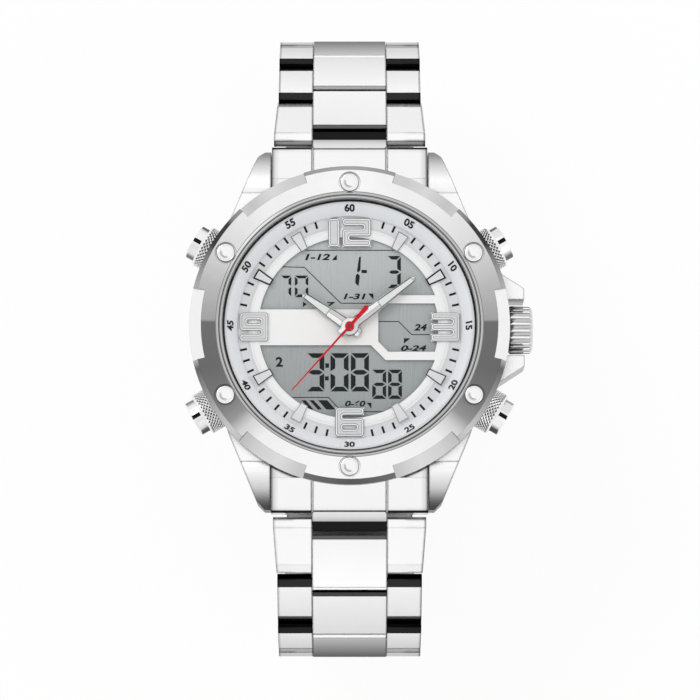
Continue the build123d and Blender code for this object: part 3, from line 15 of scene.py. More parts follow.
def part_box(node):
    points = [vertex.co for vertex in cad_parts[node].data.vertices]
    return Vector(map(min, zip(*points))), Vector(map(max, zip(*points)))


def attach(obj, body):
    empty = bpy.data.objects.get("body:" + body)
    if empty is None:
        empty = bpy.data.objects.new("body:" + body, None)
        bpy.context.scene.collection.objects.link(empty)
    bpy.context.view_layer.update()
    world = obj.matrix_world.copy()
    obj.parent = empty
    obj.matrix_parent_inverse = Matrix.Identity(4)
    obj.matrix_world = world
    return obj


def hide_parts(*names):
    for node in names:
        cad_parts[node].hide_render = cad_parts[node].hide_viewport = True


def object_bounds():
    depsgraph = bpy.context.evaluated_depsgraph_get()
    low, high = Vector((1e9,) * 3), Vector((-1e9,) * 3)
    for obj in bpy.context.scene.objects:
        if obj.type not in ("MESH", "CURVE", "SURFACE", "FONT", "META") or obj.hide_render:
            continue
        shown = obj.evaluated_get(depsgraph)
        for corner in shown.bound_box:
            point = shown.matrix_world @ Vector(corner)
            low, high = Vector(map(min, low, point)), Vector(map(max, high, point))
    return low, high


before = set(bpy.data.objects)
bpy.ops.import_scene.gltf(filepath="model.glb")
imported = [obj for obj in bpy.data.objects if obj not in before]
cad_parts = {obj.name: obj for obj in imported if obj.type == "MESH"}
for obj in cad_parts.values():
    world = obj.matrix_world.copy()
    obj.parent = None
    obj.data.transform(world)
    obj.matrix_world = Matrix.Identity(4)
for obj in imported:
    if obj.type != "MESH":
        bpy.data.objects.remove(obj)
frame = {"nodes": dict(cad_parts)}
cad_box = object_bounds()

MM = 0.001

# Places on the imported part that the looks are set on
DIAL_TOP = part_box("dial")[1].z
LCD_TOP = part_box("lcd_panel")[1].z
MARKER_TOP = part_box("dial_markers")[1].z
HOUR_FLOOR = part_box("hour_hand")[0].z
MINUTE_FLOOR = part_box("minute_hand")[0].z
SECOND_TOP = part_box("second_hand")[1].z
CASE_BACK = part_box("case_back")[0].z
CONTROL_HEIGHT = CASE_BACK + 5.2 * MM
SCREW_CIRCLE = 21.6 * MM
HOUR_ANGLE, MINUTE_ANGLE = 305, 53
PUSHER_ANGLES = (30, 150, 210, 330)

# Camera
IMAGE = 700
CAMERA_TILT = 7.5
CAMERA_DISTANCE = 0.6
DIAL_SCALE = 6600  # pixels per metre at the dial
DIAL_PIXEL = (349.6, 327.3)
SENSOR = 36
CLIP_START = 0.05


def make_camera():
    """The photograph's camera, and its place, turn and focal length in pixels."""
    focal = DIAL_SCALE * CAMERA_DISTANCE
    tilt = radians(CAMERA_TILT)
    right, above = ((IMAGE / 2 - pixel) / DIAL_SCALE for pixel in DIAL_PIXEL)
    target = Vector((right, -above / cos(tilt), DIAL_TOP))
    data = bpy.data.cameras.new("camera")
    data.sensor_width = SENSOR
    data.lens = focal / IMAGE * SENSOR
    data.clip_start = CLIP_START
    camera = bpy.data.objects.new("camera", data)
    camera.location = target + CAMERA_DISTANCE * Vector((0, -sin(tilt), cos(tilt)))
    camera.rotation_euler = (tilt, 0, 0)
    bpy.context.scene.collection.objects.link(camera)
    bpy.context.scene.camera = camera
    return camera.location.copy(), Matrix.Rotation(tilt, 3, "X"), focal


EYE, TURN, FOCAL = make_camera()


def at_pixel(x, y, height):
    """The point on a level plane that the photograph shows at a pixel."""
    ray = TURN @ Vector(((x - IMAGE / 2) / FOCAL, (IMAGE / 2 - y) / FOCAL, -1))
    return EYE + ray * ((height - EYE.z) / ray.z)


# Node trees

def material(name):
    """A new material, with its tree and its Principled shader."""
    made = bpy.data.materials.new(name)
    made.use_nodes = True
    tree = made.node_tree
    return made, tree, tree.nodes["Principled BSDF"]


def feed(tree, socket, source):
    """Link a socket to another one, or set it to a value."""
    if isinstance(source, bpy.types.NodeSocket):
        tree.links.new(source, socket)
    else:
        socket.default_value = source


def node(tree, kind, **values):
    """A shader node with its named sockets and settings filled in."""
    made = tree.nodes.new("ShaderNode" + kind)
    for key, value in values.items():
        if key in made.inputs:
            feed(tree, made.inputs[key], value)
        else:
            setattr(made, key, value)
    return made


def maths(tree, operation, *sources, kind="Math", output="Value"):
    """A Math or VectorMath node over sockets and values."""
    made = node(tree, kind, operation=operation)
    for socket, source in zip(made.inputs, sources):
        feed(tree, socket, source)
    return made.outputs[output]


def reach_along(tree, space, direction, origin=(0, 0, 0)):
    """How far the object's coordinates, or its normals, reach along a direction."""
    place = node(tree, "TexCoord").outputs[space]
    shift = maths(tree, "SUBTRACT", place, origin, kind="VectorMath", output="Vector")
    return maths(tree, "DOT_PRODUCT", shift, direction, kind="VectorMath")


RIGHT_HAND, FORWARD, UP = (1, 0, 0), (0, 1, 0), (0, 0, 1)


def aside(tree, space="Object"):
    """How far the object's coordinates, or its normals, reach to either side."""
    return maths(tree, "ABSOLUTE", reach_along(tree, space, RIGHT_HAND))


def diagonal(tree, first, second):
    """The length of two reaches at right angles, taken together."""
    squares = [maths(tree, "POWER", reach, 2) for reach in (first, second)]
    return maths(tree, "SQRT", maths(tree, "ADD", *squares))


def polar(tree):
    """Distance from the hand axis, and the hour, from -6 to 6 with 0 at 12 o'clock."""
    x, y = (reach_along(tree, "Object", direction) for direction in (RIGHT_HAND, FORWARD))
    return diagonal(tree, x, y), maths(tree, "MULTIPLY", maths(tree, "ARCTAN2", x, y), 6 / pi)


def grey(tone):
    """An opaque grey."""
    return (tone, tone, tone, 1)


def graded(tree, source, stops):
    """A colour ramp over a value, with its stops placed in the value's own measure."""
    low, high = stops[0][0], stops[-1][0]
    share = maths(tree, "MULTIPLY_ADD", source, 1 / (high - low), -low / (high - low))
    made = node(tree, "ValToRGB", Fac=share)
    elements = made.color_ramp.elements
    while len(elements) < len(stops):
        elements.new(0.5)
    for element, (place, colour) in zip(elements, stops):
        element.position = (place - low) / (high - low)
        element.color = (*colour, 1) if isinstance(colour, tuple) else grey(colour)
    return made.outputs["Color"]


def in_mm(*stops):
    """Stops whose places are given in millimetres."""
    return tuple((place * MM, colour) for place, colour in stops)


COLOUR_SOCKETS = (0, 6, 7)  # factor, first and second colour of a Mix node
COLOUR_RESULT = 2


def mixed(tree, blend, *sources):
    """Two colours mixed: blend is the mode, and the sources are the factor and the colours."""
    made = node(tree, "Mix", data_type="RGBA", blend_type=blend)
    for index, source in zip(COLOUR_SOCKETS, sources):
        feed(tree, made.inputs[index], source)
    return made.outputs[COLOUR_RESULT]


def chosen(tree, test, when_true, when_false):
    """One of two colours, by a test that is 0 or 1."""
    return mixed(tree, "MIX", test, when_false, when_true)


def times(tree, first, second):
    """Two colours multiplied."""
    return mixed(tree, "MULTIPLY", 1.0, first, second)


MICRON = 0.001 * MM
NOISE_LOW, NOISE_HIGH = 0.3, 0.7
GLOSS_SPREAD = 0.25
CLOUD_SCALE, SMUDGE_SCALE, FINE_DETAIL = 90, 60, 5
ROUND = (1, 1, 1)
FINE = (4000, 4000, 4000)
POLISH = (900, 900, 900)
DRAWN_X = (300, 6000, 6000)
DRAWN_Y = (6000, 300, 300)


def noise(tree, grain, scale=1, detail=3):
    """A noise over the object's coordinates, which grain stretches on each axis."""
    place = node(tree, "TexCoord").outputs["Object"]
    place = node(tree, "Mapping", Scale=grain, Vector=place).outputs["Vector"]
    return node(tree, "TexNoise", Scale=scale, Detail=detail, Vector=place).outputs["Fac"]


def uneven(tree, source, low, high):
    """A tone that wanders between two values with a noise."""
    return graded(tree, source, ((NOISE_LOW, low), (NOISE_HIGH, high)))


def surface(name, shade, rough, grain, relief, spread, metallic, shine=0.5):
    """A material: shade colours it in its tree, and relief is its grain's depth in microns."""
    made, tree, shader = material(name)
    fine = noise(tree, grain, detail=FINE_DETAIL)
    cloud = uneven(tree, noise(tree, ROUND, CLOUD_SCALE), 1 - spread, 1)
    gloss = uneven(tree, fine, rough * (1 - GLOSS_SPREAD), min(1, rough * (1 + GLOSS_SPREAD)))
    bump = node(tree, "Bump", Distance=relief * MICRON, Height=fine)
    for socket, source in (
        ("Metallic", metallic), ("Specular IOR Level", shine), ("Roughness", gloss),
        ("Base Color", times(tree, shade(tree), cloud)), ("Normal", bump.outputs["Normal"]),
    ):
        feed(tree, shader.inputs[socket], source)
    return made


def plain(colour):
    """A shade that is one colour."""
    def shade(tree):
        return mixed(tree, "MIX", 0.0, (*colour, 1), (*colour, 1))
    return shade


def steel(name, shade, rough, grain=POLISH, relief=1, spread=0.04):
    """Bare metal."""
    return surface(name, shade, rough, grain, relief, spread, 1)


def paint(name, colour, rough, spread=0.06, relief=3, grain=FINE, shine=0.5):
    """Paint, plastic or rubber, with a fine skin."""
    return surface(name, plain(colour), rough, grain, relief, spread, 0, shine)


def faced(direction, stops):
    """A shade of painted light by how far a surface faces a direction, from -1 to 1."""
    def shade(tree):
        return graded(tree, reach_along(tree, "Normal", direction), stops)
    return shade


INNER_LINE, OUTER_LINE = 0.3 * MM, 0.65 * MM


def wider_outside(tree):
    """Painted shade lines that are wider along the outer sides of the bracelet than between its
    rows.
    """
    stops = in_mm((0, INNER_LINE), (8, INNER_LINE), (9, OUTER_LINE), (12, OUTER_LINE))
    return graded(tree, aside(tree), stops)


SHARP_TURN, LINE_FADE = 0.7, 0.04


def edge_shaded(shade, width, dark, start=0.985):
    """A shade with a darker line of painted shade beside each edge that turns enough; width may be
    graded.
    """
    stops = ((SHARP_TURN, dark), (start - LINE_FADE, dark), (start, 1.0), (1, 1.0))

    def drawn(tree):
        radius = width(tree) if callable(width) else width
        softened = node(tree, "Bevel", Radius=radius).outputs["Normal"]
        facing = node(tree, "NewGeometry").outputs["Normal"]
        turn = maths(tree, "DOT_PRODUCT", softened, facing, kind="VectorMath")
        return times(tree, shade(tree), graded(tree, turn, stops))

    return drawn


# Painted light and shade by facing: light on top, darker down the sides
EDGE_STOPS = ((-1, 0.62), (-0.4, 0.45), (0.0, 0.3), (0.5, 0.42), (0.85, 0.75), (1, 0.86))

# The bezel's tones are painted reflection and shade, by the hour, from 0 at 12 o'clock to 6 on
# either side
SCALLOP_SHARE = 1 - 13.3 / 30
SCALLOP_RADIUS = 22.38 * MM
MOUTH_RADIUS = 20.22 * MM
LEANING, LEVEL = 0.3, 0.985
FLAT_TONES = (
    (0, 0.92), (1.2, 0.85), (1.9, 0.70), (2.5, 0.48), (2.95, 0.36), (2.97, 0.16), (3.6, 0.145),
    (4.1, 0.20), (4.32, 0.30), (4.5, 0.64), (4.75, 0.86), (5.5, 0.92), (6, 0.93),
)
SCALLOP_TONES = (
    (0, 0.6), (0.7, 0.62), (1.0, 0.72), (1.3, 0.56), (2.4, 0.93), (3.6, 0.93), (4.5, 0.52),
    (4.8, 0.7), (5.1, 0.78), (5.4, 0.62), (6, 0.6),
)
BEVEL_TONES = (
    (0, 0.36), (0.6, 0.30), (1.44, 0.30), (1.6, 0.2), (1.68, 0.01), (1.98, 0.01), (2.08, 0.12),
    (2.3, 0.28), (2.5, 0.4), (3.4, 0.6), (3.55, 0.12), (4.0, 0.35), (4.4, 0.6), (5.4, 0.16),
    (6, 0.10),
)
SKIRT_TONES = ((0, 0.30), (1.5, 0.05), (2.5, 0.3), (3.5, 0.35), (4.5, 0.4), (5.3, 0.1), (6, 0.05))
MOUTH_TONES = in_mm((19.70, 0.03), (19.76, 0.45), (20.08, 0.55), (20.14, 0.16), (20.22, 0.45))


def bezel_shade(tree):
    """Flat top with painted reflection, light to 12 and 6 and dark past 3 and 9, with scallops and
    an outer bevel.
    """
    radius, hour = polar(tree)
    up = reach_along(tree, "Normal", UP)
    late = maths(tree, "ABSOLUTE", hour)
    odd = maths(tree, "GREATER_THAN", maths(tree, "PINGPONG", hour, 1), SCALLOP_SHARE)
    outside = maths(tree, "GREATER_THAN", radius, SCALLOP_RADIUS)
    scallop = maths(tree, "MULTIPLY", odd, outside)
    leaning = maths(tree, "GREATER_THAN", up, LEANING)
    flat = maths(tree, "GREATER_THAN", up, LEVEL)
    mouth = maths(tree, "LESS_THAN", radius, MOUTH_RADIUS)
    rim = chosen(tree, leaning, graded(tree, late, BEVEL_TONES), graded(tree, late, SKIRT_TONES))
    scalloped = maths(tree, "MULTIPLY", scallop, leaning)
    rim = chosen(tree, scalloped, graded(tree, late, SCALLOP_TONES), rim)
    tone = chosen(tree, flat, graded(tree, late, FLAT_TONES), rim)
    return chosen(tree, mouth, graded(tree, radius, MOUTH_TONES), tone)


# Painted light and shade of the case: by facing, towards the lugs' tips, and black in the crystal's
# seat
CASE_TONES = ((-1, 0.6), (-0.2, 0.42), (0.1, 0.36), (0.5, 0.5), (0.8, 0.78), (1, 0.9))
TIP_TONES = in_mm(
    (-27.5, 0.06), (-26.4, 0.22), (-24.5, 0.72), (-22, 1.0), (22.5, 1.0), (25, 0.8), (27.2, 0.42)
)
SEAT_TONES = in_mm((18, 0.02), (19.12, 0.02), (19.18, 1.0), (19.3, 1.0))


def case_shade(tree):
    """Painted light on top, greyer down the sides and towards the lugs' tips, and painted shade,
    black, under the crystal.
    """
    facing = faced(UP, CASE_TONES)(tree)
    tips = graded(tree, reach_along(tree, "Object", FORWARD), TIP_TONES)
    return times(tree, times(tree, facing, tips), graded(tree, polar(tree)[0], SEAT_TONES))


# Painted reflection and shade: the end links' black bridge bevel, and darker sides, lug edges and
# far ends
BRIDGE_TONES = (
    (-1, 0.1), (-0.4, 0.4), (0, 0.88), (0.3, 0.95), (0.36, 0.88), (0.41, 0.03), (0.85, 0.02),
    (0.93, 0.5), (1, 0.6),
)
BESIDE_TONES = in_mm((0, 1.0), (10.7, 1.0), (11.5, 0.75), (11.9, 0.35))
FAR_TONES = in_mm((0, 1.0), (27, 1.0), (28.6, 0.8), (29.4, 0.5))
END_LINK_SIDE = ((0, 1.0), (0.4, 0.85), (1, 0.6))
LINK_SIDE = ((0, 1.0), (0.4, 0.85), (1, 0.66))


def end_link_shade(tree):
    """Near white, with painted reflection making the bridge's bevel black, and painted shade on the
    sides, beside the lugs and at the far ends.
    """
    y = reach_along(tree, "Object", FORWARD)
    outward = maths(tree, "MULTIPLY", reach_along(tree, "Normal", FORWARD), maths(tree, "SIGN", y))
    tone = graded(tree, outward, BRIDGE_TONES)
    beside = graded(tree, aside(tree), BESIDE_TONES)
    far = graded(tree, maths(tree, "ABSOLUTE", y), FAR_TONES)
    tone = times(tree, tone, graded(tree, aside(tree, "Normal"), END_LINK_SIDE))
    return times(tree, times(tree, tone, beside), far)


# Links: half the centre row and half a link, and how far the bevels of a row tilt, near and far
ROW_EDGE, HALF_LINK = 5.69 * MM, 4.5 * MM
CENTRE_TILTS, OUTER_TILTS = (-0.57, 0.57), (-0.41, 0.37)
# Painted shade: dark ends of the links where they meet the next one, and grey undersides
BEVEL_FADE, BEVEL_END, HIDDEN_END = 0.1, 0.3, 0.03
UNDERSIDE, UNDER_TONE = -0.5, 0.6


def link_shade(slope, side, middle, outer_tones, centre_tones):
    """Painted reflection and shade of one link: near bevel, face near, face far and far bevel, of
    each row.
    """
    ahead = (0, side * cos(radians(slope)), -sin(radians(slope)))
    above = (0, side * sin(radians(slope)), cos(radians(slope)))

    def row(tree, tones, tilt, place, tilts):
        near, face_near, face_far, far = tones
        face = graded(tree, place, ((-HALF_LINK, face_near), (HALF_LINK, face_far)))
        nearly = maths(tree, "LESS_THAN", tilt, tilts[0] / 2)
        beyond = maths(tree, "GREATER_THAN", tilt, tilts[1] / 2)
        tone = chosen(tree, nearly, grey(near), face)
        tone = chosen(tree, beyond, grey(far), tone)
        fade, end = tilts[1] + BEVEL_FADE, tilts[1] + BEVEL_END
        ends = ((-1, 0.8), (-0.85, 1.0), (fade, 1.0), (end, HIDDEN_END), (1, HIDDEN_END))
        return times(tree, tone, graded(tree, tilt, ends))

    def shade(tree):
        tilt = reach_along(tree, "Normal", ahead)
        place = reach_along(tree, "Object", ahead, middle)
        tone = chosen(
            tree,
            maths(tree, "LESS_THAN", aside(tree), ROW_EDGE),
            row(tree, centre_tones, tilt, place, CENTRE_TILTS),
            row(tree, outer_tones, tilt, place, OUTER_TILTS),
        )
        tone = times(tree, tone, graded(tree, aside(tree, "Normal"), LINK_SIDE))
        under = maths(tree, "LESS_THAN", reach_along(tree, "Normal", above), UNDERSIDE)
        return chosen(tree, under, grey(UNDER_TONE), tone)

    return shade


GASKET_TONES = in_mm(
    (19.1, 0.20), (19.34, 0.28), (19.38, 0.62), (19.46, 0.62), (19.5, 0.26), (19.64, 0.22),
    (19.68, 0.02), (19.8, 0.02),
)


def gasket_shade(tree):
    """Thin rings beside the crystal: grey painted light with a white painted highlight, and black
    at the outer edge.
    """
    return graded(tree, polar(tree)[0], GASKET_TONES)


# Painted reflection and shade on the screw heads
DOME_TONES = in_mm((0, 0.92), (0.95, 0.9), (1.1, 0.8), (1.26, 0.92), (1.33, 0.5), (1.42, 0.05))
HOOK_TONES = in_mm((0, 1.0), (0.5, 1.0), (0.62, 0.3), (0.74, 0.75), (0.82, 0.4), (0.92, 1.0))
HOOK_SHARES = in_mm((-1, 1.0), (-0.55, 0.8), (-0.2, 0.0), (1, 0.0))


def screw_shade(tree):
    """White dome with a painted reflection, a thin grey hook to the lower left, and a dark rim of
    painted shade.
    """
    hour = polar(tree)[1]
    turn = maths(tree, "MULTIPLY", maths(tree, "ROUND", maths(tree, "DIVIDE", hour, 2)), pi / 3)
    offsets = []
    for wave, direction in (("SINE", RIGHT_HAND), ("COSINE", FORWARD)):
        middle = maths(tree, "MULTIPLY", maths(tree, wave, turn), SCREW_CIRCLE)
        offsets.append(maths(tree, "SUBTRACT", reach_along(tree, "Object", direction), middle))
    reach = diagonal(tree, *offsets)
    dome, hook = graded(tree, reach, DOME_TONES), graded(tree, reach, HOOK_TONES)
    hooked = graded(tree, maths(tree, "ADD", *offsets), HOOK_SHARES)
    return times(tree, dome, mixed(tree, "MIX", hooked, grey(1), hook))


CAP_TONES = (
    (-1, 0.03), (-0.85, 0.2), (-0.65, 0.9), (0.1, 0.9), (0.3, 0.75), (0.75, 0.85), (0.9, 0.2),
    (1, 0.03),
)


def cap_shade(angle):
    """Polished cap, with painted reflection that darkens it at either side."""
    return faced((-sin(radians(angle)), cos(radians(angle)), 0), CAP_TONES)


FLUTE_TONES = in_mm((3.3, 0.5), (3.5, 0.62), (3.54, 0.05), (3.6, 0.05), (3.64, 0.92))
CROWN_END, END_TONE = 0.5, 0.72


def crown_shade(tree):
    """Painted light and shade: bright lands between dark flutes, and a light end."""
    y = reach_along(tree, "Object", FORWARD)
    z = reach_along(tree, "Object", UP, (0, 0, CONTROL_HEIGHT))
    depth = graded(tree, diagonal(tree, y, z), FLUTE_TONES)
    end = maths(tree, "GREATER_THAN", aside(tree, "Normal"), CROWN_END)
    return chosen(tree, end, grey(END_TONE), depth)


HAND_SIDES = in_mm((-1, 0.8), (-0.03, 0.92), (0.03, 0.55), (1, 0.7))
HAND_WALLS = ((-1, 0.2), (0, 0.05), (0.75, 0.12), (0.95, 1.0), (1, 1.0))


def hand_shade(angle):
    """Silver, with painted light brighter on one side of the ridge line and painted shade on its
    walls.
    """
    across = (cos(radians(angle)), -sin(radians(angle)), 0)

    def shade(tree):
        side = graded(tree, reach_along(tree, "Object", across), HAND_SIDES)
        return times(tree, side, faced(UP, HAND_WALLS)(tree))

    return shade


DIAL_TONES = in_mm(
    (0, (0.80, 0.79, 0.78)), (13.2, 0.84), (15.1, 0.86), (15.4, (0.58, 0.59, 0.60)),
    (15.7, (0.66, 0.67, 0.69)), (16.8, (0.70, 0.71, 0.73)), (17.4, (0.84, 0.85, 0.86)),
)
DIAL_WALLS = ((-1, 0.5), (0, 0.05), (0.6, 0.1), (0.95, 1.0), (1, 1.0))


def dial_shade(tree):
    """White, with a cooler ring under the minute marks, partly its own grey and partly painted
    shade darkest at its inner edge, and painted shade on the walls of the windows.
    """
    tone = graded(tree, polar(tree)[0], DIAL_TONES)
    return times(tree, tone, faced(UP, DIAL_WALLS)(tree))


RING_TONES = in_mm(
    (16.9, (0.55, 0.57, 0.60)), (17.15, (0.80, 0.82, 0.85)), (18.3, (0.86, 0.88, 0.90)),
    (18.9, (0.74, 0.76, 0.79)),
)


def ring_shade(tree):
    """Bluish white slope, with painted shade at its foot and at its top edge."""
    return graded(tree, polar(tree)[0], RING_TONES)


LCD_TONES = in_mm(
    (-14.5, (0.27, 0.295, 0.295)), (0, (0.35, 0.375, 0.375)), (14.5, (0.48, 0.515, 0.51))
)
LCD_COLUMNS = (1800, 40, 40)


def lcd_shade(tree):
    """The display's grey, with painted light that makes it lighter to 12 o'clock, and the faint
    columns of its polariser.
    """
    tone = graded(tree, reach_along(tree, "Object", FORWARD), LCD_TONES)
    return times(tree, tone, uneven(tree, noise(tree, LCD_COLUMNS), 0.99, 1.0))


def crystal_glass():
    """Flat mineral glass, clear enough to read through, with a faint smudge in its gloss."""
    made, tree, shader = material("crystal_glass")
    for socket, source in (
        ("Base Color", (0.97, 0.98, 0.98, 1)), ("Alpha", 0.008), ("IOR", 1.5),
        ("Specular IOR Level", 0.15),
        ("Roughness", uneven(tree, noise(tree, ROUND, SMUDGE_SCALE), 0.02, 0.06)),
    ):
        feed(tree, shader.inputs[socket], source)
    return made


# Finishes: shade, roughness, grain, relief in microns and spread of tone
# Widths of the painted shade lines along the edges
BEZEL_EDGE, HAND_EDGE, CASE_EDGE = 0.11 * MM, 0.26 * MM, 0.4 * MM
end_link_edge_shaded = edge_shaded(end_link_shade, wider_outside, 0.06)
edged_steel = steel("edged_steel", faced(UP, EDGE_STOPS), 0.25, DRAWN_X, 3)
case_steel = steel("case_steel", edge_shaded(case_shade, CASE_EDGE, 0.12, 0.9), 0.34, FINE, 0.5, 0.02)
bezel_steel = steel("bezel_steel", edge_shaded(bezel_shade, BEZEL_EDGE, 0.5), 0.22, spread=0.03)
end_link_steel = steel("end_link_steel", end_link_edge_shaded, 0.16, spread=0.02)
screw_steel = steel("screw_steel", screw_shade, 0.15, spread=0.02)
crown_steel = steel("crown_steel", crown_shade, 0.18, spread=0.03)
# The knurl's light lands, and the painted shade in its pits
knurl_light = steel("knurl_light", plain((0.88, 0.88, 0.88)), 0.25)
knurl_pit_shade = steel("knurl_pit_shade", plain((0.12, 0.12, 0.12)), 0.4, spread=0.1)
inner_steel = steel("inner_steel", plain((0.62, 0.62, 0.61)), 0.35, (5000, 600, 600), 3)
blade_steel = steel("blade_steel", faced(UP, EDGE_STOPS), 0.14, DRAWN_Y, 2)
hour_steel, minute_steel = (
    steel(f"{hand}_hand_steel", edge_shaded(hand_shade(angle), HAND_EDGE, 0.06), 0.18, FINE, 1, 0.03)
    for hand, angle in (("hour", HOUR_ANGLE), ("minute", MINUTE_ANGLE))
)
marker_steel = steel("marker_steel", plain((0.74, 0.75, 0.76)), 0.3, FINE, 1, 0.03)
brass = steel("train_brass", plain((0.78, 0.58, 0.27)), 0.3, FINE, 3)
copper = steel("motor_copper", plain((0.74, 0.38, 0.2)), 0.35, (9000, 300, 300), 20)
cell_steel = steel("cell_steel", plain((0.66, 0.66, 0.66)), 0.3, (3000, 3000, 3000), 3)
gasket_rubber = surface("gasket_rubber", gasket_shade, 0.35, FINE, 2, 0.05, 0)
dial_white = surface("dial_paint", dial_shade, 0.45, FINE, 2, 0.02, 0)
ring_white = surface("chapter_paint", ring_shade, 0.4, FINE, 2, 0.02, 0)
lcd_grey = surface("lcd_glass", lcd_shade, 0.3, (3000, 120, 120), 1, 0.02, 0)
red = paint("red_paint", (0.58, 0.001, 0.008), 0.3, 0.1, shine=0.05)
# Black of the pusher slots, painted shade
slot_shade = paint("slot_shade", (0.006, 0.006, 0.006), 0.5, 0.25, shine=0.1)
strip_rubber = paint("connector_rubber", (0.3, 0.3, 0.32), 0.6)
black_plastic = paint("black_plastic", (0.03, 0.03, 0.032), 0.5, 0.2)
board = paint("board_green", (0.03, 0.17, 0.06), 0.35, 0.35, grain=(1500, 1500, 1500))
# Black ink for print, also used as painted shade on the darkest marker rims
ink_and_rim_shade = paint("black_ink_and_rim_shade", (0.005, 0.006, 0.006), 0.4, 0.25, shine=0.05)
segment_ink = paint("segment_ink", (0.004, 0.007, 0.007), 0.25, 0.25, shine=0.05)
dark_grey = paint("dark_grey_line", (0.05, 0.05, 0.052), 0.4, 0.15, shine=0.1)
mid_grey = paint("grey_line", (0.19, 0.19, 0.195), 0.4, 0.1, shine=0.2)
light_grey = paint("pale_line", (0.34, 0.34, 0.345), 0.4, 0.08, shine=0.2)
marker_fill = paint("marker_fill", (0.70, 0.71, 0.72), 0.35, 0.05)
numeral_white = paint("numeral_white", (0.90, 0.90, 0.90), 0.3, 0.03)
numeral_line = paint("numeral_line", (0.24, 0.24, 0.245), 0.4, 0.1, shine=0.2)
numeral_face = paint("numeral_face", (0.64, 0.64, 0.65), 0.3, 0.08)
rim_white = paint("rim_white", (0.84, 0.84, 0.84), 0.45, 0.02)
lume = paint("luminous_fill", (0.72, 0.75, 0.73), 0.55, 0.06, 6, (9000, 9000, 9000))
crystal_clear = crystal_glass()

# Bracelet: fall of each link in degrees from the head, and the tones of its outer and centre row,
# which are painted reflection and shade
SLOPES = {
    "link_12": (37, 44, 62, 86, 110, 132, 150, 166),
    "link_6": (24, 46, 71, 92, 112, 130, 147, 163),
}
SEEN_TONES = {
    "link_12_1": ((0.97, 0.96, 0.93, 1.0), (0.12, 0.94, 1.0, 0.06)),
    "link_12_2": ((0.03, 0.96, 0.74, 0.04), (0.4, 1.0, 0.80, 0.03)),
    "link_12_3": ((0.02, 0.80, 0.50, 0.05), (0.98, 0.60, 0.05, 0.05)),
    "link_6_1": ((0.95, 0.95, 0.97, 0.97), (0.12, 0.90, 1.0, 1.0)),
    "link_6_2": ((0.03, 0.98, 0.78, 0.03), (0.06, 1.0, 0.80, 0.05)),
    "link_6_3": ((0.02, 0.80, 0.50, 0.05), (0.98, 0.55, 0.05, 0.05)),
}
HIDDEN_TONES = ((0.55, 0.84, 0.80, 0.55), (0.4, 0.86, 0.82, 0.4))


def link_steel(name):
    """The polished steel of one link, with its painted reflection and shade."""
    row, number = name.rsplit("_", 1)
    low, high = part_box(name)
    side = 1 if row == "link_12" else -1
    tones = SEEN_TONES.get(name, HIDDEN_TONES)
    shade = link_shade(SLOPES[row][int(number) - 1], side, tuple((low + high) / 2), *tones)
    return steel(f"{name}_steel", edge_shaded(shade, wider_outside, 0.03), 0.16, DRAWN_Y, 1, 0.02)


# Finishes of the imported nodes
finishes = {
    **dict.fromkeys(frame["nodes"], inner_steel),
    "case_body": case_steel, "bezel": bezel_steel, "bezel_screws": screw_steel,
    "crystal": crystal_clear, "gaskets": gasket_rubber, "chapter_ring": ring_white,
    "dial": dial_white, "dial_markers": marker_steel, "lcd_panel": lcd_grey,
    "module_frame": black_plastic, "circuit_board": board, "lcd_connectors": strip_rubber,
    "button_cells": cell_steel, "stepper_motor": copper, "hour_hand": hour_steel,
    "minute_hand": minute_steel, "second_hand": red, "crown": crown_steel,
    "end_links": end_link_steel, "inner_blade": blade_steel, "middle_blade": blade_steel,
}
for name in ("case_back", "clasp_cover", "clasp_button_left", "clasp_button_right"):
    finishes[name] = edged_steel
for name in (
    "movement_plates", "step_wheel", "second_wheel", "third_wheel", "centre_wheel", "cannon_pinion",
    "minute_wheel", "hour_wheel",
):
    finishes[name] = brass
for number, angle in enumerate(PUSHER_ANGLES):
    name = f"pusher_{number + 1}"
    finishes[name] = steel(f"{name}_steel", cap_shade(angle), 0.18)
for name, finish in finishes.items():
    mesh = frame["nodes"][name].data
    mesh.materials.clear()
    mesh.materials.append(link_steel(name) if name.startswith("link_") else finish)


# Mesh pieces

def shown(name, vertices, faces, finish, body, slot):
    """A mesh piece that moves with a body."""
    mesh = bpy.data.meshes.new(name)
    mesh.from_pydata([tuple(v) for v in vertices], [], faces)
    mesh.validate()
    shape = bmesh.new()
    shape.from_mesh(mesh)
    bmesh.ops.recalc_face_normals(shape, faces=shape.faces)
    shape.to_mesh(mesh)
    shape.free()
    mesh.materials.append(finish)
    piece = bpy.data.objects.new(name, mesh)
    bpy.context.scene.collection.objects.link(piece)
    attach(piece, body)
    return piece


def add_plate(store, outline, floor, top):
    """Add an upright prism on an outline of (x, y) points to a store of vertices and faces."""
    vertices, faces = store
    start, count = len(vertices), len(outline)
    vertices.extend((x, y, floor) for x, y in outline)
    vertices.extend((x, y, top) for x, y in outline)
    faces.append([start + i for i in reversed(range(count))])
    faces.append([start + count + i for i in range(count)])
    for i in range(count):
        j = (i + 1) % count
        faces.append([start + i, start + j, start + count + j, start + count + i])


def pixel_outline(points, height):
    """Pixels to (x, y) points on a level plane."""
    return [tuple(at_pixel(x, y, height)[:2]) for x, y in points]


def meshed(curve):
    """Vertices and faces of a text or curve, which is then removed."""
    made = bpy.data.objects.new("drawn", curve)
    bpy.context.scene.collection.objects.link(made)
    bpy.context.view_layer.update()
    graph = bpy.context.evaluated_depsgraph_get()
    mesh = bpy.data.meshes.new_from_object(made.evaluated_get(graph))
    vertices = [v.co.copy() for v in mesh.vertices]
    faces = [list(p.vertices) for p in mesh.polygons]
    bpy.data.objects.remove(made)
    bpy.data.curves.remove(curve)
    bpy.data.meshes.remove(mesh)
    return vertices, faces


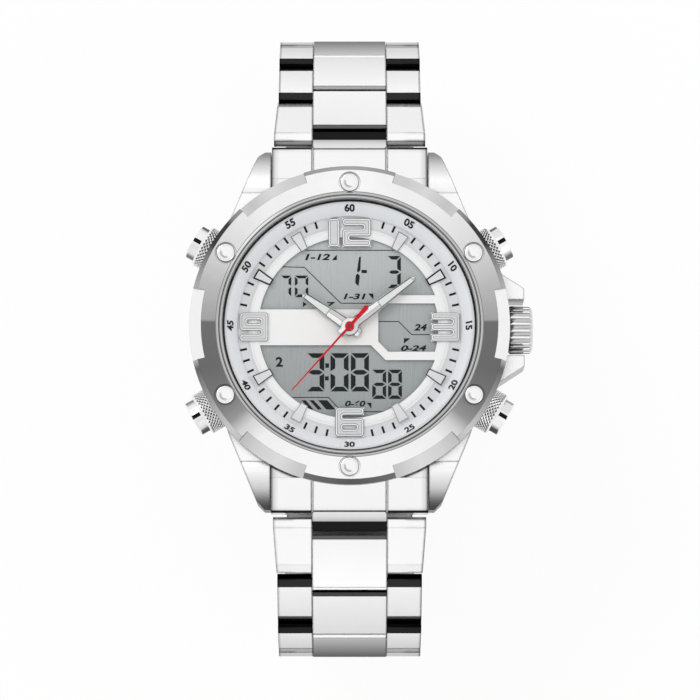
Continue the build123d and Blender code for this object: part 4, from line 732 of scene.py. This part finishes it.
TEXT_THICK = 0.1


def figures_mesh(figures, weight, slant):
    """Figures in the built-in face: vertices in a box of one unit, faces, and width over height."""
    curve = bpy.data.curves.new("figures", "FONT")
    curve.body = figures
    curve.offset = weight
    curve.shear = slant
    curve.extrude = TEXT_THICK / 2
    vertices, faces = meshed(curve)
    left, low = (min(v[i] for v in vertices) for i in range(2))
    wide = max(v.x for v in vertices) - left
    tall = max(v.y for v in vertices) - low
    unit = [
        Vector(((v.x - left) / wide - 0.5, (v.y - low) / tall - 0.5, v.z / TEXT_THICK + 0.5))
        for v in vertices
    ]
    return unit, faces, wide / tall


def merge(store, vertices, faces):
    """Add a mesh to a store."""
    start = len(store[0])
    store[0].extend(vertices)
    store[1].extend([start + i for i in face] for face in faces)


# Display: seven-segment figures, plain numbers for its labels, and the lines between them
INK_LIFT = 0.006 * MM
INK_THICK = 0.02 * MM
LABEL_WEIGHT = 0.035
LABEL_SLANT = 0.22
TALL_FIGURE = 8  # pixels; a number this tall stands upright
POINT, SHOULDER, WAIST, REST = 0.25, 1.2, 0.75, 0.15  # shares of a stroke at its mitred ends


def segment_outlines(s, w, h):
    """The seven strokes of a figure: stroke width, width and height, in pixels."""
    half = h / 2
    left_up = [(0, s * POINT), (s, s * SHOULDER), (s, half - s * WAIST), (0, half - s * REST)]
    right_up = [(w - x, y) for x, y in left_up]
    return {
        "top": [(0, 0), (w, 0), (w - s, s), (s, s)],
        "middle": [
            (s * POINT, half), (s, half - s / 2), (w - s, half - s / 2), (w - s * POINT, half),
            (w - s, half + s / 2), (s, half + s / 2),
        ],
        "bottom": [(0, h), (w, h), (w - s, h - s), (s, h - s)],
        "upper_left": left_up,
        "upper_right": right_up,
        "lower_left": [(x, h - y) for x, y in left_up],
        "lower_right": [(x, h - y) for x, y in right_up],
    }


RIGHT = ("upper_right", "lower_right")
FIGURES = {
    "0": ("top", "bottom", "upper_left", "lower_left", *RIGHT),
    "3": ("top", "middle", "bottom", *RIGHT),
    "7": ("top", *RIGHT),
    "8": ("top", "middle", "bottom", "upper_left", "lower_left", *RIGHT),
    "a": ("top", "middle", "bottom", "lower_left", *RIGHT),
}
# figure, left, top, width, height, stroke, all in pixels
DISPLAY_FIGURES = (
    ("3", 307.1, 353.1, 17.2, 38.4, 4.9),
    ("0", 330.4, 353.1, 18.2, 38.4, 4.9),
    ("8", 350.8, 353.1, 18.2, 38.4, 4.9),
    ("a", 372.2, 369.6, 14.0, 29.4, 3.7),
    ("8", 388.0, 369.6, 14.0, 29.4, 3.7),
    ("3", 387.5, 255.9, 13.4, 32.3, 3.8),
    ("7", 280.8, 275.5, 10.5, 21.8, 2.9),
    ("0", 294.8, 275.5, 13.6, 21.8, 3.0),
)
SEGMENT_GAP = 0.35
DISPLAY_PLATES = (
    ((325.3, 363.4), (329.0, 363.4), (329.0, 367.8), (325.3, 367.8)),
    ((325.0, 376.3), (328.7, 376.3), (328.7, 380.4), (325.0, 380.4)),
    ((361.5, 269.9), (366.8, 269.9), (366.8, 273.1), (361.5, 273.1)),
    ((359.0, 257.2), (360.9, 256.4), (360.4, 270.4), (357.9, 272.6), (357.0, 271.0)),
    ((357.5, 273.6), (359.9, 275.6), (358.6, 286.2), (355.2, 283.2), (355.8, 275.2)),
    ((331.9, 260.1), (336.9, 260.1), (336.9, 254.6)),
    ((302.9, 301.5), (302.9, 307.1), (306.8, 304.2)),
    ((368.2, 293.6), (373.4, 293.6), (373.4, 299.4)),
    ((403.9, 338.3), (410.3, 338.3), (403.9, 343.6)),
    ((366.6, 402.7), (371.4, 402.7), (371.4, 408.6)),
    ((301.5, 400.2), (305.6, 400.2), (313.4, 409.4), (309.3, 409.4)),
    ((309.4, 400.2), (313.6, 400.2), (322.2, 409.4), (317.8, 409.4)),
    ((318.2, 400.2), (327.2, 400.2), (335.5, 409.4), (326.2, 409.4)),
)
# numbers, then the left, top, right and bottom pixel that they fill
DISPLAY_LABELS = (
    ("1-12", 305.0, 253.9, 330.0, 260.1),
    ("1-7", 315.0, 301.9, 335.5, 307.6),
    ("1-31", 343.5, 293.5, 366.0, 299.4),
    ("24", 414.0, 324.0, 426.8, 330.6),
    ("0-24", 401.0, 345.3, 426.5, 351.0),
    ("0-60", 345.0, 400.6, 365.5, 406.6),
    ("2", 275.8, 357.0, 282.8, 366.8),
)
DISPLAY_LINES = (
    ((305.0, 250.3), (394.0, 250.3)),
    ((282.2, 266.8), (304.3, 267.3), (340.8, 303.2), (376.9, 303.2)),
    ((378.7, 321.5), (398.7, 321.5), (411.7, 334.6), (429.2, 334.6)),
    ((288.9, 397.4), (328.5, 397.4), (341.5, 411.6), (386.0, 411.6)),
)
LINE_WIDTH = 0.8


def inset(points, amount):
    """An outline drawn in towards its middle by about an amount."""
    middle = (sum(p[0] for p in points) / len(points), sum(p[1] for p in points) / len(points))
    out = []
    for x, y in points:
        dx, dy = middle[0] - x, middle[1] - y
        reach = max(hypot(dx, dy), amount)
        out.append((x + dx / reach * amount, y + dy / reach * amount))
    return out


def stroke(start, end, width):
    """The four corners of a straight line of a width."""
    dx, dy = end[0] - start[0], end[1] - start[1]
    length = hypot(dx, dy)
    ox, oy = -dy / length * width / 2, dx / length * width / 2
    return [
        (start[0] - oy + ox, start[1] + ox + oy),
        (end[0] + oy + ox, end[1] - ox + oy),
        (end[0] + oy - ox, end[1] - ox - oy),
        (start[0] - oy - ox, start[1] + ox - oy),
    ]


def make_display():
    """Everything that the display shows, as thin plates on its face."""
    floor, top = LCD_TOP + INK_LIFT, LCD_TOP + INK_LIFT + INK_THICK
    figures, prints = ([], []), ([], [])
    for figure, left, high, width, height, thick in DISPLAY_FIGURES:
        outlines = segment_outlines(thick, width, height)
        for name in FIGURES[figure]:
            points = inset([(left + x, high + y) for x, y in outlines[name]], SEGMENT_GAP)
            add_plate(figures, pixel_outline(points, top), floor, top)
    for points in DISPLAY_PLATES:
        add_plate(figures, pixel_outline(points, top), floor, top)
    for points in DISPLAY_LINES:
        for start, end in zip(points, points[1:]):
            add_plate(prints, pixel_outline(stroke(start, end, LINE_WIDTH), top), floor, top)
    for label, left, high, right, low in DISPLAY_LABELS:
        slant = LABEL_SLANT if low - high < TALL_FIGURE else 0
        unit, faces, _ = figures_mesh(label, LABEL_WEIGHT, slant)
        placed = []
        for v in unit:
            x = left + (v.x + 0.5) * (right - left)
            y = low - (v.y + 0.5) * (low - high)
            point = at_pixel(x, y, top)
            placed.append((point.x, point.y, floor + v.z * INK_THICK))
        merge(prints, placed, faces)
    shown("display_figures", *figures, segment_ink, "case", "lcd_glass")
    shown("display_print", *prints, ink_and_rim_shade, "case", "lcd_glass")


make_display()

# Marks on the dial and the numbers of the sloped ring
TICK_INNER, TICK_OUTER = 15.9 * MM, 16.95 * MM
TICK_HALF = 0.165 * MM
TICK_THICK = 0.03 * MM
HIDDEN_MINUTES = (58, 59, 1, 2, 14, 16, 29, 31, 44, 46)
RING_INNER = 17.0 * MM
RING_SLOPE = 2.27 / 1.53
RING_FLOOR = CASE_BACK + 8.95 * MM
RING_TOP = CASE_BACK + 11.22 * MM
NUMBER_RADIUS = 18.03 * MM
NUMBER_TALL = 0.95 * MM
NUMBER_WIDEN = 1.28
NUMBER_WEIGHT = 0.032
NUMBER_LIFT = 0.07 * MM
NUMBER_DEEP, NUMBER_SINK = 2, 0.6
UPRIGHT_NUMBERS = (20, 25, 30, 35, 40)


def around(radius, angle, height):
    """A point at a radius and a clockwise angle from 12 o'clock."""
    return Vector((radius * sin(angle), radius * cos(angle), height))


def make_marks():
    """Minute marks, and the numbers 05 to 60."""
    marks, numbers = ([], []), ([], [])
    for minute in range(60):
        if minute % 5 == 0 or minute in HIDDEN_MINUTES:
            continue
        angle = 2 * pi * minute / 60
        side = Vector((cos(angle), -sin(angle), 0)) * TICK_HALF
        corners = []
        for radius, hand in ((TICK_INNER, -1), (TICK_INNER, 1), (TICK_OUTER, 1), (TICK_OUTER, -1)):
            corners.append(tuple((around(radius, angle, 0) + side * hand)[:2]))
        add_plate(marks, corners, DIAL_TOP - TICK_THICK / 2, DIAL_TOP + TICK_THICK)
    for minute in range(5, 61, 5):
        angle = 2 * pi * minute / 60
        unit, faces, ratio = figures_mesh(f"{minute:02d}", NUMBER_WEIGHT, 0)
        flip = -1 if minute in UPRIGHT_NUMBERS else 1
        wide = NUMBER_TALL * ratio * NUMBER_WIDEN
        placed = []
        for v in unit:
            radius = NUMBER_RADIUS + flip * v.y * NUMBER_TALL
            turn = angle + flip * v.x * wide / NUMBER_RADIUS
            height = min(RING_FLOOR + (radius - RING_INNER) * RING_SLOPE, RING_TOP)
            height += (v.z * NUMBER_DEEP - NUMBER_SINK) * NUMBER_LIFT
            placed.append(around(radius, turn, height))
        merge(numbers, placed, faces)
    shown("minute_marks", *marks, ink_and_rim_shade, "case", "white_dial")
    shown("ring_numbers", *numbers, ink_and_rim_shade, "case", "white_ring")


make_marks()

# Numerals and hour markers
NUMERAL_TALL, NUMERAL_WIDE, ONE_WIDE = 4.4 * MM, 4.35 * MM, 1.75 * MM
NUMERAL_STROKE = 1.15 * MM
NUMERAL_GAP = 0.4 * MM
NUMERAL_REACH = 14.5 * MM
NUMERAL_CORNER = 0.5 * MM


def digit_outlines(digit):
    """Closed outlines of a squared numeral about its own middle."""
    w, h, s, n = NUMERAL_WIDE / 2, NUMERAL_TALL / 2, NUMERAL_STROKE, ONE_WIDE / 2
    m = s / 2
    one = [(-n, h), (n, h), (n, -h), (-n, -h)]
    two = [
        (-w, h), (w, h), (w, -m), (s - w, -m), (s - w, s - h), (w, s - h),
        (w, -h), (-w, -h), (-w, m), (w - s, m), (w - s, h - s), (-w, h - s),
    ]
    three = [
        (-w, h), (w, h), (w, -h), (-w, -h), (-w, s - h), (w - s, s - h),
        (w - s, -m), (-w, -m), (-w, m), (w - s, m), (w - s, h - s), (-w, h - s),
    ]
    six = [
        [(-w, h), (w, h), (w, h - s), (s - w, h - s), (s - w, m), (w, m), (w, -h), (-w, -h)],
        [(s - w, -m), (w - s, -m), (w - s, s - h), (s - w, s - h)],
    ]
    nine = [[(-x, -y) for x, y in outline] for outline in six]
    return {"1": [one], "2": [two], "3": [three], "6": six, "9": nine}[digit]


CORNER_ROOM, CORNER_STEPS = 2.2, 4  # a curve takes up at most one edge in CORNER_ROOM


def rounded(points, radius):
    """A closed outline with its corners rounded."""
    out = []
    for i, corner in enumerate(points):
        corner = Vector(corner)
        before, after = Vector(points[i - 1]), Vector(points[(i + 1) % len(points)])
        room = min((before - corner).length, (after - corner).length) / CORNER_ROOM
        reach = min(radius, room)
        start = corner + (before - corner).normalized() * reach
        end = corner + (after - corner).normalized() * reach
        for k in range(CORNER_STEPS + 1):
            t = k / CORNER_STEPS
            out.append(start * (1 - t) ** 2 + corner * 2 * t * (1 - t) + end * t * t)
    return out


def filled(outlines, draw_in, floor, top):
    """Vertices and faces of a flat layer on outlines, drawn in by a distance."""
    curve = bpy.data.curves.new("layer", "CURVE")
    curve.dimensions = "2D"
    curve.fill_mode = "BOTH"
    curve.offset = -draw_in
    curve.extrude = (top - floor) / 2
    for points in outlines:
        spline = curve.splines.new("POLY")
        spline.points.add(len(points) - 1)
        for point, place in zip(spline.points, points):
            point.co = (place[0], place[1], 0, 1)
        spline.use_cyclic_u = True
    vertices, faces = meshed(curve)
    middle = Vector((0, 0, (floor + top) / 2))
    return [v + middle for v in vertices], faces


# draw in from the edge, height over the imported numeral, and finish of each layer
NUMERAL_LAYERS = (
    (0.0, 0.03 * MM, numeral_line),
    (0.13 * MM, 0.07 * MM, numeral_white),
    (0.29 * MM, 0.085 * MM, numeral_line),
    (0.38 * MM, 0.11 * MM, numeral_face),
)
MARKER_INNER, MARKER_OUTER = 13.6 * MM, 16.45 * MM
MARKER_INNER_HALF, MARKER_OUTER_HALF = 0.55 * MM, 0.88 * MM
RIM_LIFT, FACE_LIFT = 0.03 * MM, 0.06 * MM
# finish and width of the rim, and the hours that have it; the rims are painted shade, darker at
# some hours than at others
MARKER_RIMS = (
    (ink_and_rim_shade, 0.24 * MM, (10, 2)),
    (dark_grey, 0.17 * MM, (4, 8)),
    (mid_grey, 0.13 * MM, (1, 11)),
    (light_grey, 0.12 * MM, (5, 7)),
)


def make_numerals():
    """The four numerals, grey with white and dark outlines, and the hour markers' rims of painted
    shade.
    """
    layers = {}
    one_shift = (NUMERAL_WIDE + NUMERAL_GAP) / 2
    two_shift = (ONE_WIDE + NUMERAL_GAP) / 2
    for digit, x, y in (
        ("1", -one_shift, NUMERAL_REACH), ("2", two_shift, NUMERAL_REACH), ("3", NUMERAL_REACH, 0),
        ("6", 0, -NUMERAL_REACH), ("9", -NUMERAL_REACH, 0),
    ):
        soft = [rounded(points, NUMERAL_CORNER) for points in digit_outlines(digit)]
        for draw_in, lift, finish in NUMERAL_LAYERS:
            vertices, faces = filled(soft, draw_in, MARKER_TOP, MARKER_TOP + lift)
            placed = [v + Vector((x, y, 0)) for v in vertices]
            merge(layers.setdefault(finish.name, (finish, ([], [])))[1], placed, faces)
    for name, (finish, store) in layers.items():
        shown(f"{name}_layer", *store, finish, "case", "marker_steel")
    corners = [
        (-MARKER_INNER_HALF, MARKER_INNER), (MARKER_INNER_HALF, MARKER_INNER),
        (MARKER_OUTER_HALF, MARKER_OUTER), (-MARKER_OUTER_HALF, MARKER_OUTER),
    ]
    fills = ([], [])
    for number, (finish, rim, hours) in enumerate(MARKER_RIMS):
        rims = ([], [])
        for hour in hours:
            turn = Matrix.Rotation(-2 * pi * hour / 12, 3, "Z")
            for store, draw_in, lift in ((rims, 0, RIM_LIFT), (fills, rim, FACE_LIFT)):
                vertices, faces = filled([corners], draw_in, MARKER_TOP, MARKER_TOP + lift)
                merge(store, [turn @ v for v in vertices], faces)
        shown(f"marker_rims_{number + 1}", *rims, finish, "case", "marker_steel")
    shown("marker_faces", *fills, marker_fill, "case", "marker_steel")


make_numerals()


def turned(profile, steps):
    """Vertices and faces of a closed profile of (radius, height) points turned about +Z."""
    vertices, faces = [], []
    count = len(profile)
    for step in range(steps):
        angle = 2 * pi * step / steps
        x, y = cos(angle), sin(angle)
        vertices.extend((radius * x, radius * y, height) for radius, height in profile)
    for step in range(steps):
        here, next_one = step * count, (step + 1) % steps * count
        for i in range(count):
            j = (i + 1) % count
            faces.append([here + i, next_one + i, next_one + j, here + j])
    return vertices, faces


def smooth(piece, angle):
    """Smooth shading that keeps edges sharper than an angle."""
    for polygon in piece.data.polygons:
        polygon.use_smooth = True
    piece.data.set_sharp_from_angle(angle=radians(angle))
    return piece


# The soft raised rim round the display
RIM_PROFILE = (
    (13.87, -0.02), (13.9, 0.02), (14.05, 0.07), (14.3, 0.1), (14.6, 0.11), (14.85, 0.08),
    (15.0, 0.03), (15.04, -0.02),
)
RIM_STEPS, PIN_STEPS = 180, 32
rim_points = [(radius * MM, DIAL_TOP + height * MM) for radius, height in RIM_PROFILE]
smooth(shown("dial_rim", *turned(rim_points, RIM_STEPS), rim_white, "case", "white_dial"), 60)

# Hands: the luminous fill of each slot, the dark lines of painted shade along the edges, and the
# second hand's pin
HAND_THICK = 0.22 * MM
HAND_TIP_HALF = 0.45 * MM
HAND_RIM = 0.24 * MM
HAND_SLOT_SHARE = 0.46
FILL_GAP = 0.05 * MM
FILL_FLOOR, FILL_TOP = 0.1, 0.9  # shares of the hand's thickness
HAND_LINE, HAND_LINE_LIFT = 0.1 * MM, 0.012 * MM
HAND_LINE_START = 1.2 * MM
HANDS = (
    ("hour", 8.7 * MM, 0.85 * MM, HOUR_ANGLE, HOUR_FLOOR, "hand_steel"),
    ("minute", 12.4 * MM, 0.8 * MM, MINUTE_ANGLE, MINUTE_FLOOR, "hand_steel"),
)
for body, reach, half, angle, floor, slot in HANDS:
    inner = half - HAND_RIM - FILL_GAP
    outer = HAND_TIP_HALF - HAND_RIM / 2 - FILL_GAP
    start, end = reach * HAND_SLOT_SHARE + FILL_GAP, reach - HAND_TIP_HALF - FILL_GAP
    turn = Matrix.Rotation(-radians(angle), 2)
    fill, lines = ([], []), ([], [])
    corners = [(-inner, start), (inner, start), (outer, end), (-outer, end)]
    outline = [tuple(turn @ Vector(c)) for c in corners]
    add_plate(fill, outline, floor + HAND_THICK * FILL_FLOOR, floor + HAND_THICK * FILL_TOP)
    shown(f"{body}_hand_fill", *fill, lume, body, slot)
    for side in (-1, 1):
        edge = [(side * half, HAND_LINE_START), (side * HAND_TIP_HALF, reach - HAND_TIP_HALF)]
        corners = [*edge, *[(x - side * HAND_LINE, y) for x, y in reversed(edge)]]
        top = floor + HAND_THICK
        add_plate(lines, [tuple(turn @ Vector(c)) for c in corners], top, top + HAND_LINE_LIFT)
    shown(f"{body}_hand_lines", *lines, dark_grey, body, slot)
PIN_PROFILE = ((0.001, -0.05), (0.24, -0.05), (0.24, 0.03), (0.18, 0.06), (0.001, 0.06))
pin_points = [(radius * MM, SECOND_TOP + height * MM) for radius, height in PIN_PROFILE]
smooth(shown("second_pin", *turned(pin_points, PIN_STEPS), dark_grey, "second", "hand_steel"), 40)

# Knurled collars of the pushers
COLLAR_RADIUS = 3.3 * MM
COLLAR_INNER, COLLAR_OUTER = 22.7 * MM, 26.0 * MM
COLLAR_BORE = 2.75 * MM
COLLAR_EDGE = 0.25 * MM
SPIGOT_RADIUS, SPIGOT_INNER = 2.1 * MM, 20.6 * MM
SPIGOT_BORE = 1.65 * MM
KNURLS_ROUND, KNURL_ROWS = 64, 10
KNURL_DEPTH = 0.15 * MM
PIT_SHARE = 0.45  # of a diamond, which its middle, dark with painted shade, takes up


def ring(vertices, radius, place):
    """A ring of vertices at a radius and a place along the axis, and their numbers."""
    start = len(vertices)
    for step in range(KNURLS_ROUND):
        angle = 2 * pi * step / KNURLS_ROUND
        vertices.append(Vector((radius * cos(angle), radius * sin(angle), place)))
    return list(range(start, start + KNURLS_ROUND))


def collar_mesh():
    """A pusher tube with a diamond-knurled collar, about +Z, and which faces carry the painted
    shade of the pits.
    """
    vertices, faces, dark = [], [], []
    start, run = COLLAR_INNER + COLLAR_EDGE, COLLAR_OUTER - COLLAR_INNER - 2 * COLLAR_EDGE
    deep = 1 - KNURL_DEPTH / COLLAR_RADIUS
    places = [start + run * row / KNURL_ROWS for row in range(KNURL_ROWS + 1)]
    rows = [ring(vertices, COLLAR_RADIUS, place) for place in places]
    for row in range(KNURL_ROWS + 1):
        for step in range(KNURLS_ROUND):
            if (step + row) % 2 == 0:
                continue
            before, after = rows[row][step - 1], rows[row][(step + 1) % KNURLS_ROUND]
            middle = rows[row][step]
            if row in (0, KNURL_ROWS):
                near = rows[1][step] if row == 0 else rows[row - 1][step]
                faces += [[before, middle, near], [middle, after, near]]
                continue
            corners = [before, rows[row + 1][step], after, rows[row - 1][step]]
            x, y, z = vertices[middle]
            centre = vertices[middle] = Vector((x * deep, y * deep, z))
            first = len(vertices)
            vertices.extend(centre + (vertices[corner] - centre) * PIT_SHARE for corner in corners)
            for k in range(4):
                j = (k + 1) % 4
                faces.append([corners[k], corners[j], first + j, first + k])
                dark.append(len(faces))
                faces.append([first + k, first + j, middle])
    edge = COLLAR_RADIUS - COLLAR_EDGE
    turns = (
        (edge, COLLAR_OUTER), (COLLAR_BORE, COLLAR_OUTER),
        (COLLAR_BORE, start), (SPIGOT_BORE, start),
        (SPIGOT_BORE, SPIGOT_INNER), (SPIGOT_RADIUS, SPIGOT_INNER), (SPIGOT_RADIUS, COLLAR_INNER),
        (edge, COLLAR_INNER),
    )
    profile = [rows[-1], *[ring(vertices, radius, place) for radius, place in turns], rows[0]]
    for first, second in zip(profile, profile[1:]):
        for step in range(KNURLS_ROUND):
            after = (step + 1) % KNURLS_ROUND
            faces.append([first[step], first[after], second[after], second[step]])
    return vertices, faces, dark


def make_collars():
    """The four collars, in place."""
    store, dark = ([], []), []
    vertices, faces, pits = collar_mesh()
    for angle in PUSHER_ANGLES:
        axis = Vector((cos(radians(angle)), sin(radians(angle)), 0))
        across = Vector((-sin(radians(angle)), cos(radians(angle)), 0))
        dark += [len(store[1]) + face for face in pits]
        placed = [
            axis * v.z + across * v.x + Vector((0, 0, CONTROL_HEIGHT + v.y)) for v in vertices
        ]
        merge(store, placed, faces)
    collars = shown("pusher_collars", *store, knurl_light, "case", "satin_steel")
    collars.data.materials.append(knurl_pit_shade)
    for face in dark:
        collars.data.polygons[face].material_index = 1
    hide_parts("pusher_tubes")


make_collars()

# Painted shade in the slot across each cap: a black plate that fills it
SLOT_INNER, SLOT_OUTER = 26.17 * MM, 27.38 * MM
SLOT_HALF, SLOT_REACH = 0.305 * MM, 2.45 * MM
for number, angle in enumerate(PUSHER_ANGLES):
    turn = Matrix.Rotation(radians(angle), 2)
    corners = (
        (SLOT_INNER, -SLOT_HALF), (SLOT_OUTER, -SLOT_HALF),
        (SLOT_OUTER, SLOT_HALF), (SLOT_INNER, SLOT_HALF),
    )
    store = ([], [])
    outline = [tuple(turn @ Vector(corner)) for corner in corners]
    add_plate(store, outline, CONTROL_HEIGHT - SLOT_REACH, CONTROL_HEIGHT + SLOT_REACH)
    body = f"pusher_{number + 1}"
    shown(f"slot_filling_{number + 1}", *store, slot_shade, body, "satin_steel")

# Small rounded edges on the clasp, the crown and the back, which catch the light as worn edges do
WELD_REACH = 2 * MICRON
EDGE_WIDTH = 0.12 * MM
EDGE_SEGMENTS, EDGE_ANGLE = 2, 32
EDGED = (
    "clasp_cover", "middle_blade", "inner_blade", "crown", "case_back", "clasp_button_left",
    "clasp_button_right",
)
for name in EDGED:
    piece = frame["nodes"][name]
    weld = piece.modifiers.new("weld", "WELD")
    weld.merge_threshold = WELD_REACH
    edge = piece.modifiers.new("edge", "BEVEL")
    edge.width = EDGE_WIDTH
    edge.segments = EDGE_SEGMENTS
    edge.limit_method = "ANGLE"
    edge.angle_limit = radians(EDGE_ANGLE)
    edge.harden_normals = True


# Floor, world and lamps
FLOOR_SIZE, FLOOR_PARTS, FLOOR_DROP = 6, 8, 0.05 * MM
FLOOR_TONE, FLOOR_ROUGH, FLOOR_WHITE = 0.93, 0.9, 0.88
STUDIO_TONES = ((-1, 0.6), (-0.1, 0.84), (0.1, 0.93), (0.35, 1.0), (0.7, 1.0), (1, 1.0))
WORLD_TONE = 0.9


def make_floor():
    """A pale floor at the clasp's flat, near white, that keeps a soft shadow."""
    place = (0, 0, cad_box[0].z - FLOOR_DROP)
    bpy.ops.mesh.primitive_grid_add(
        x_subdivisions=FLOOR_PARTS, y_subdivisions=FLOOR_PARTS, size=FLOOR_SIZE, location=place
    )
    floor = bpy.context.object
    floor.name = "floor"
    made, tree, shader = material("floor_white")
    feed(tree, shader.inputs["Roughness"], FLOOR_ROUGH)
    feed(tree, shader.inputs["Base Color"], grey(FLOOR_TONE))
    rays = node(tree, "LightPath").outputs
    looks = maths(tree, "MAXIMUM", rays["Is Camera Ray"], rays["Is Glossy Ray"])
    looks = maths(tree, "MAXIMUM", looks, rays["Is Transmission Ray"])
    mix = node(tree, "MixShader", Fac=maths(tree, "MULTIPLY", looks, FLOOR_WHITE))
    feed(tree, mix.inputs[1], shader.outputs[0])
    feed(tree, mix.inputs[2], node(tree, "Emission").outputs[0])
    feed(tree, tree.nodes["Material Output"].inputs["Surface"], mix.outputs[0])
    floor.data.materials.append(made)


def make_world():
    """A white studio, a little darker at the horizon where metal mirrors it."""
    world = bpy.context.scene.world = bpy.data.worlds.new("studio")
    world.use_nodes = True
    tree = world.node_tree
    rays = node(tree, "LightPath").outputs
    parts = node(tree, "SeparateXYZ", Vector=node(tree, "TexCoord").outputs["Generated"])
    studio = graded(tree, parts.outputs["Z"], STUDIO_TONES)
    level = chosen(tree, rays["Is Glossy Ray"], studio, grey(WORLD_TONE))
    level = chosen(tree, rays["Is Camera Ray"], grey(1), level)
    feed(tree, tree.nodes["Background"].inputs["Color"], level)


def make_lamp(name, place, size, power):
    """A square soft lamp that looks at the dial."""
    data = bpy.data.lights.new(name, "AREA")
    data.size = size
    data.energy = power
    lamp = bpy.data.objects.new(name, data)
    lamp.location = place
    target = Vector((0, 0, DIAL_TOP))
    lamp.rotation_euler = (target - Vector(place)).to_track_quat("-Z", "Y").to_euler()
    bpy.context.scene.collection.objects.link(lamp)


make_floor()
make_world()
make_lamp("key", (-0.5, 0.45, 0.9), 0.5, 2.2)
make_lamp("fill", (0.7, -0.5, 0.7), 0.6, 0.8)

bpy.context.scene.view_settings.view_transform = "Standard"
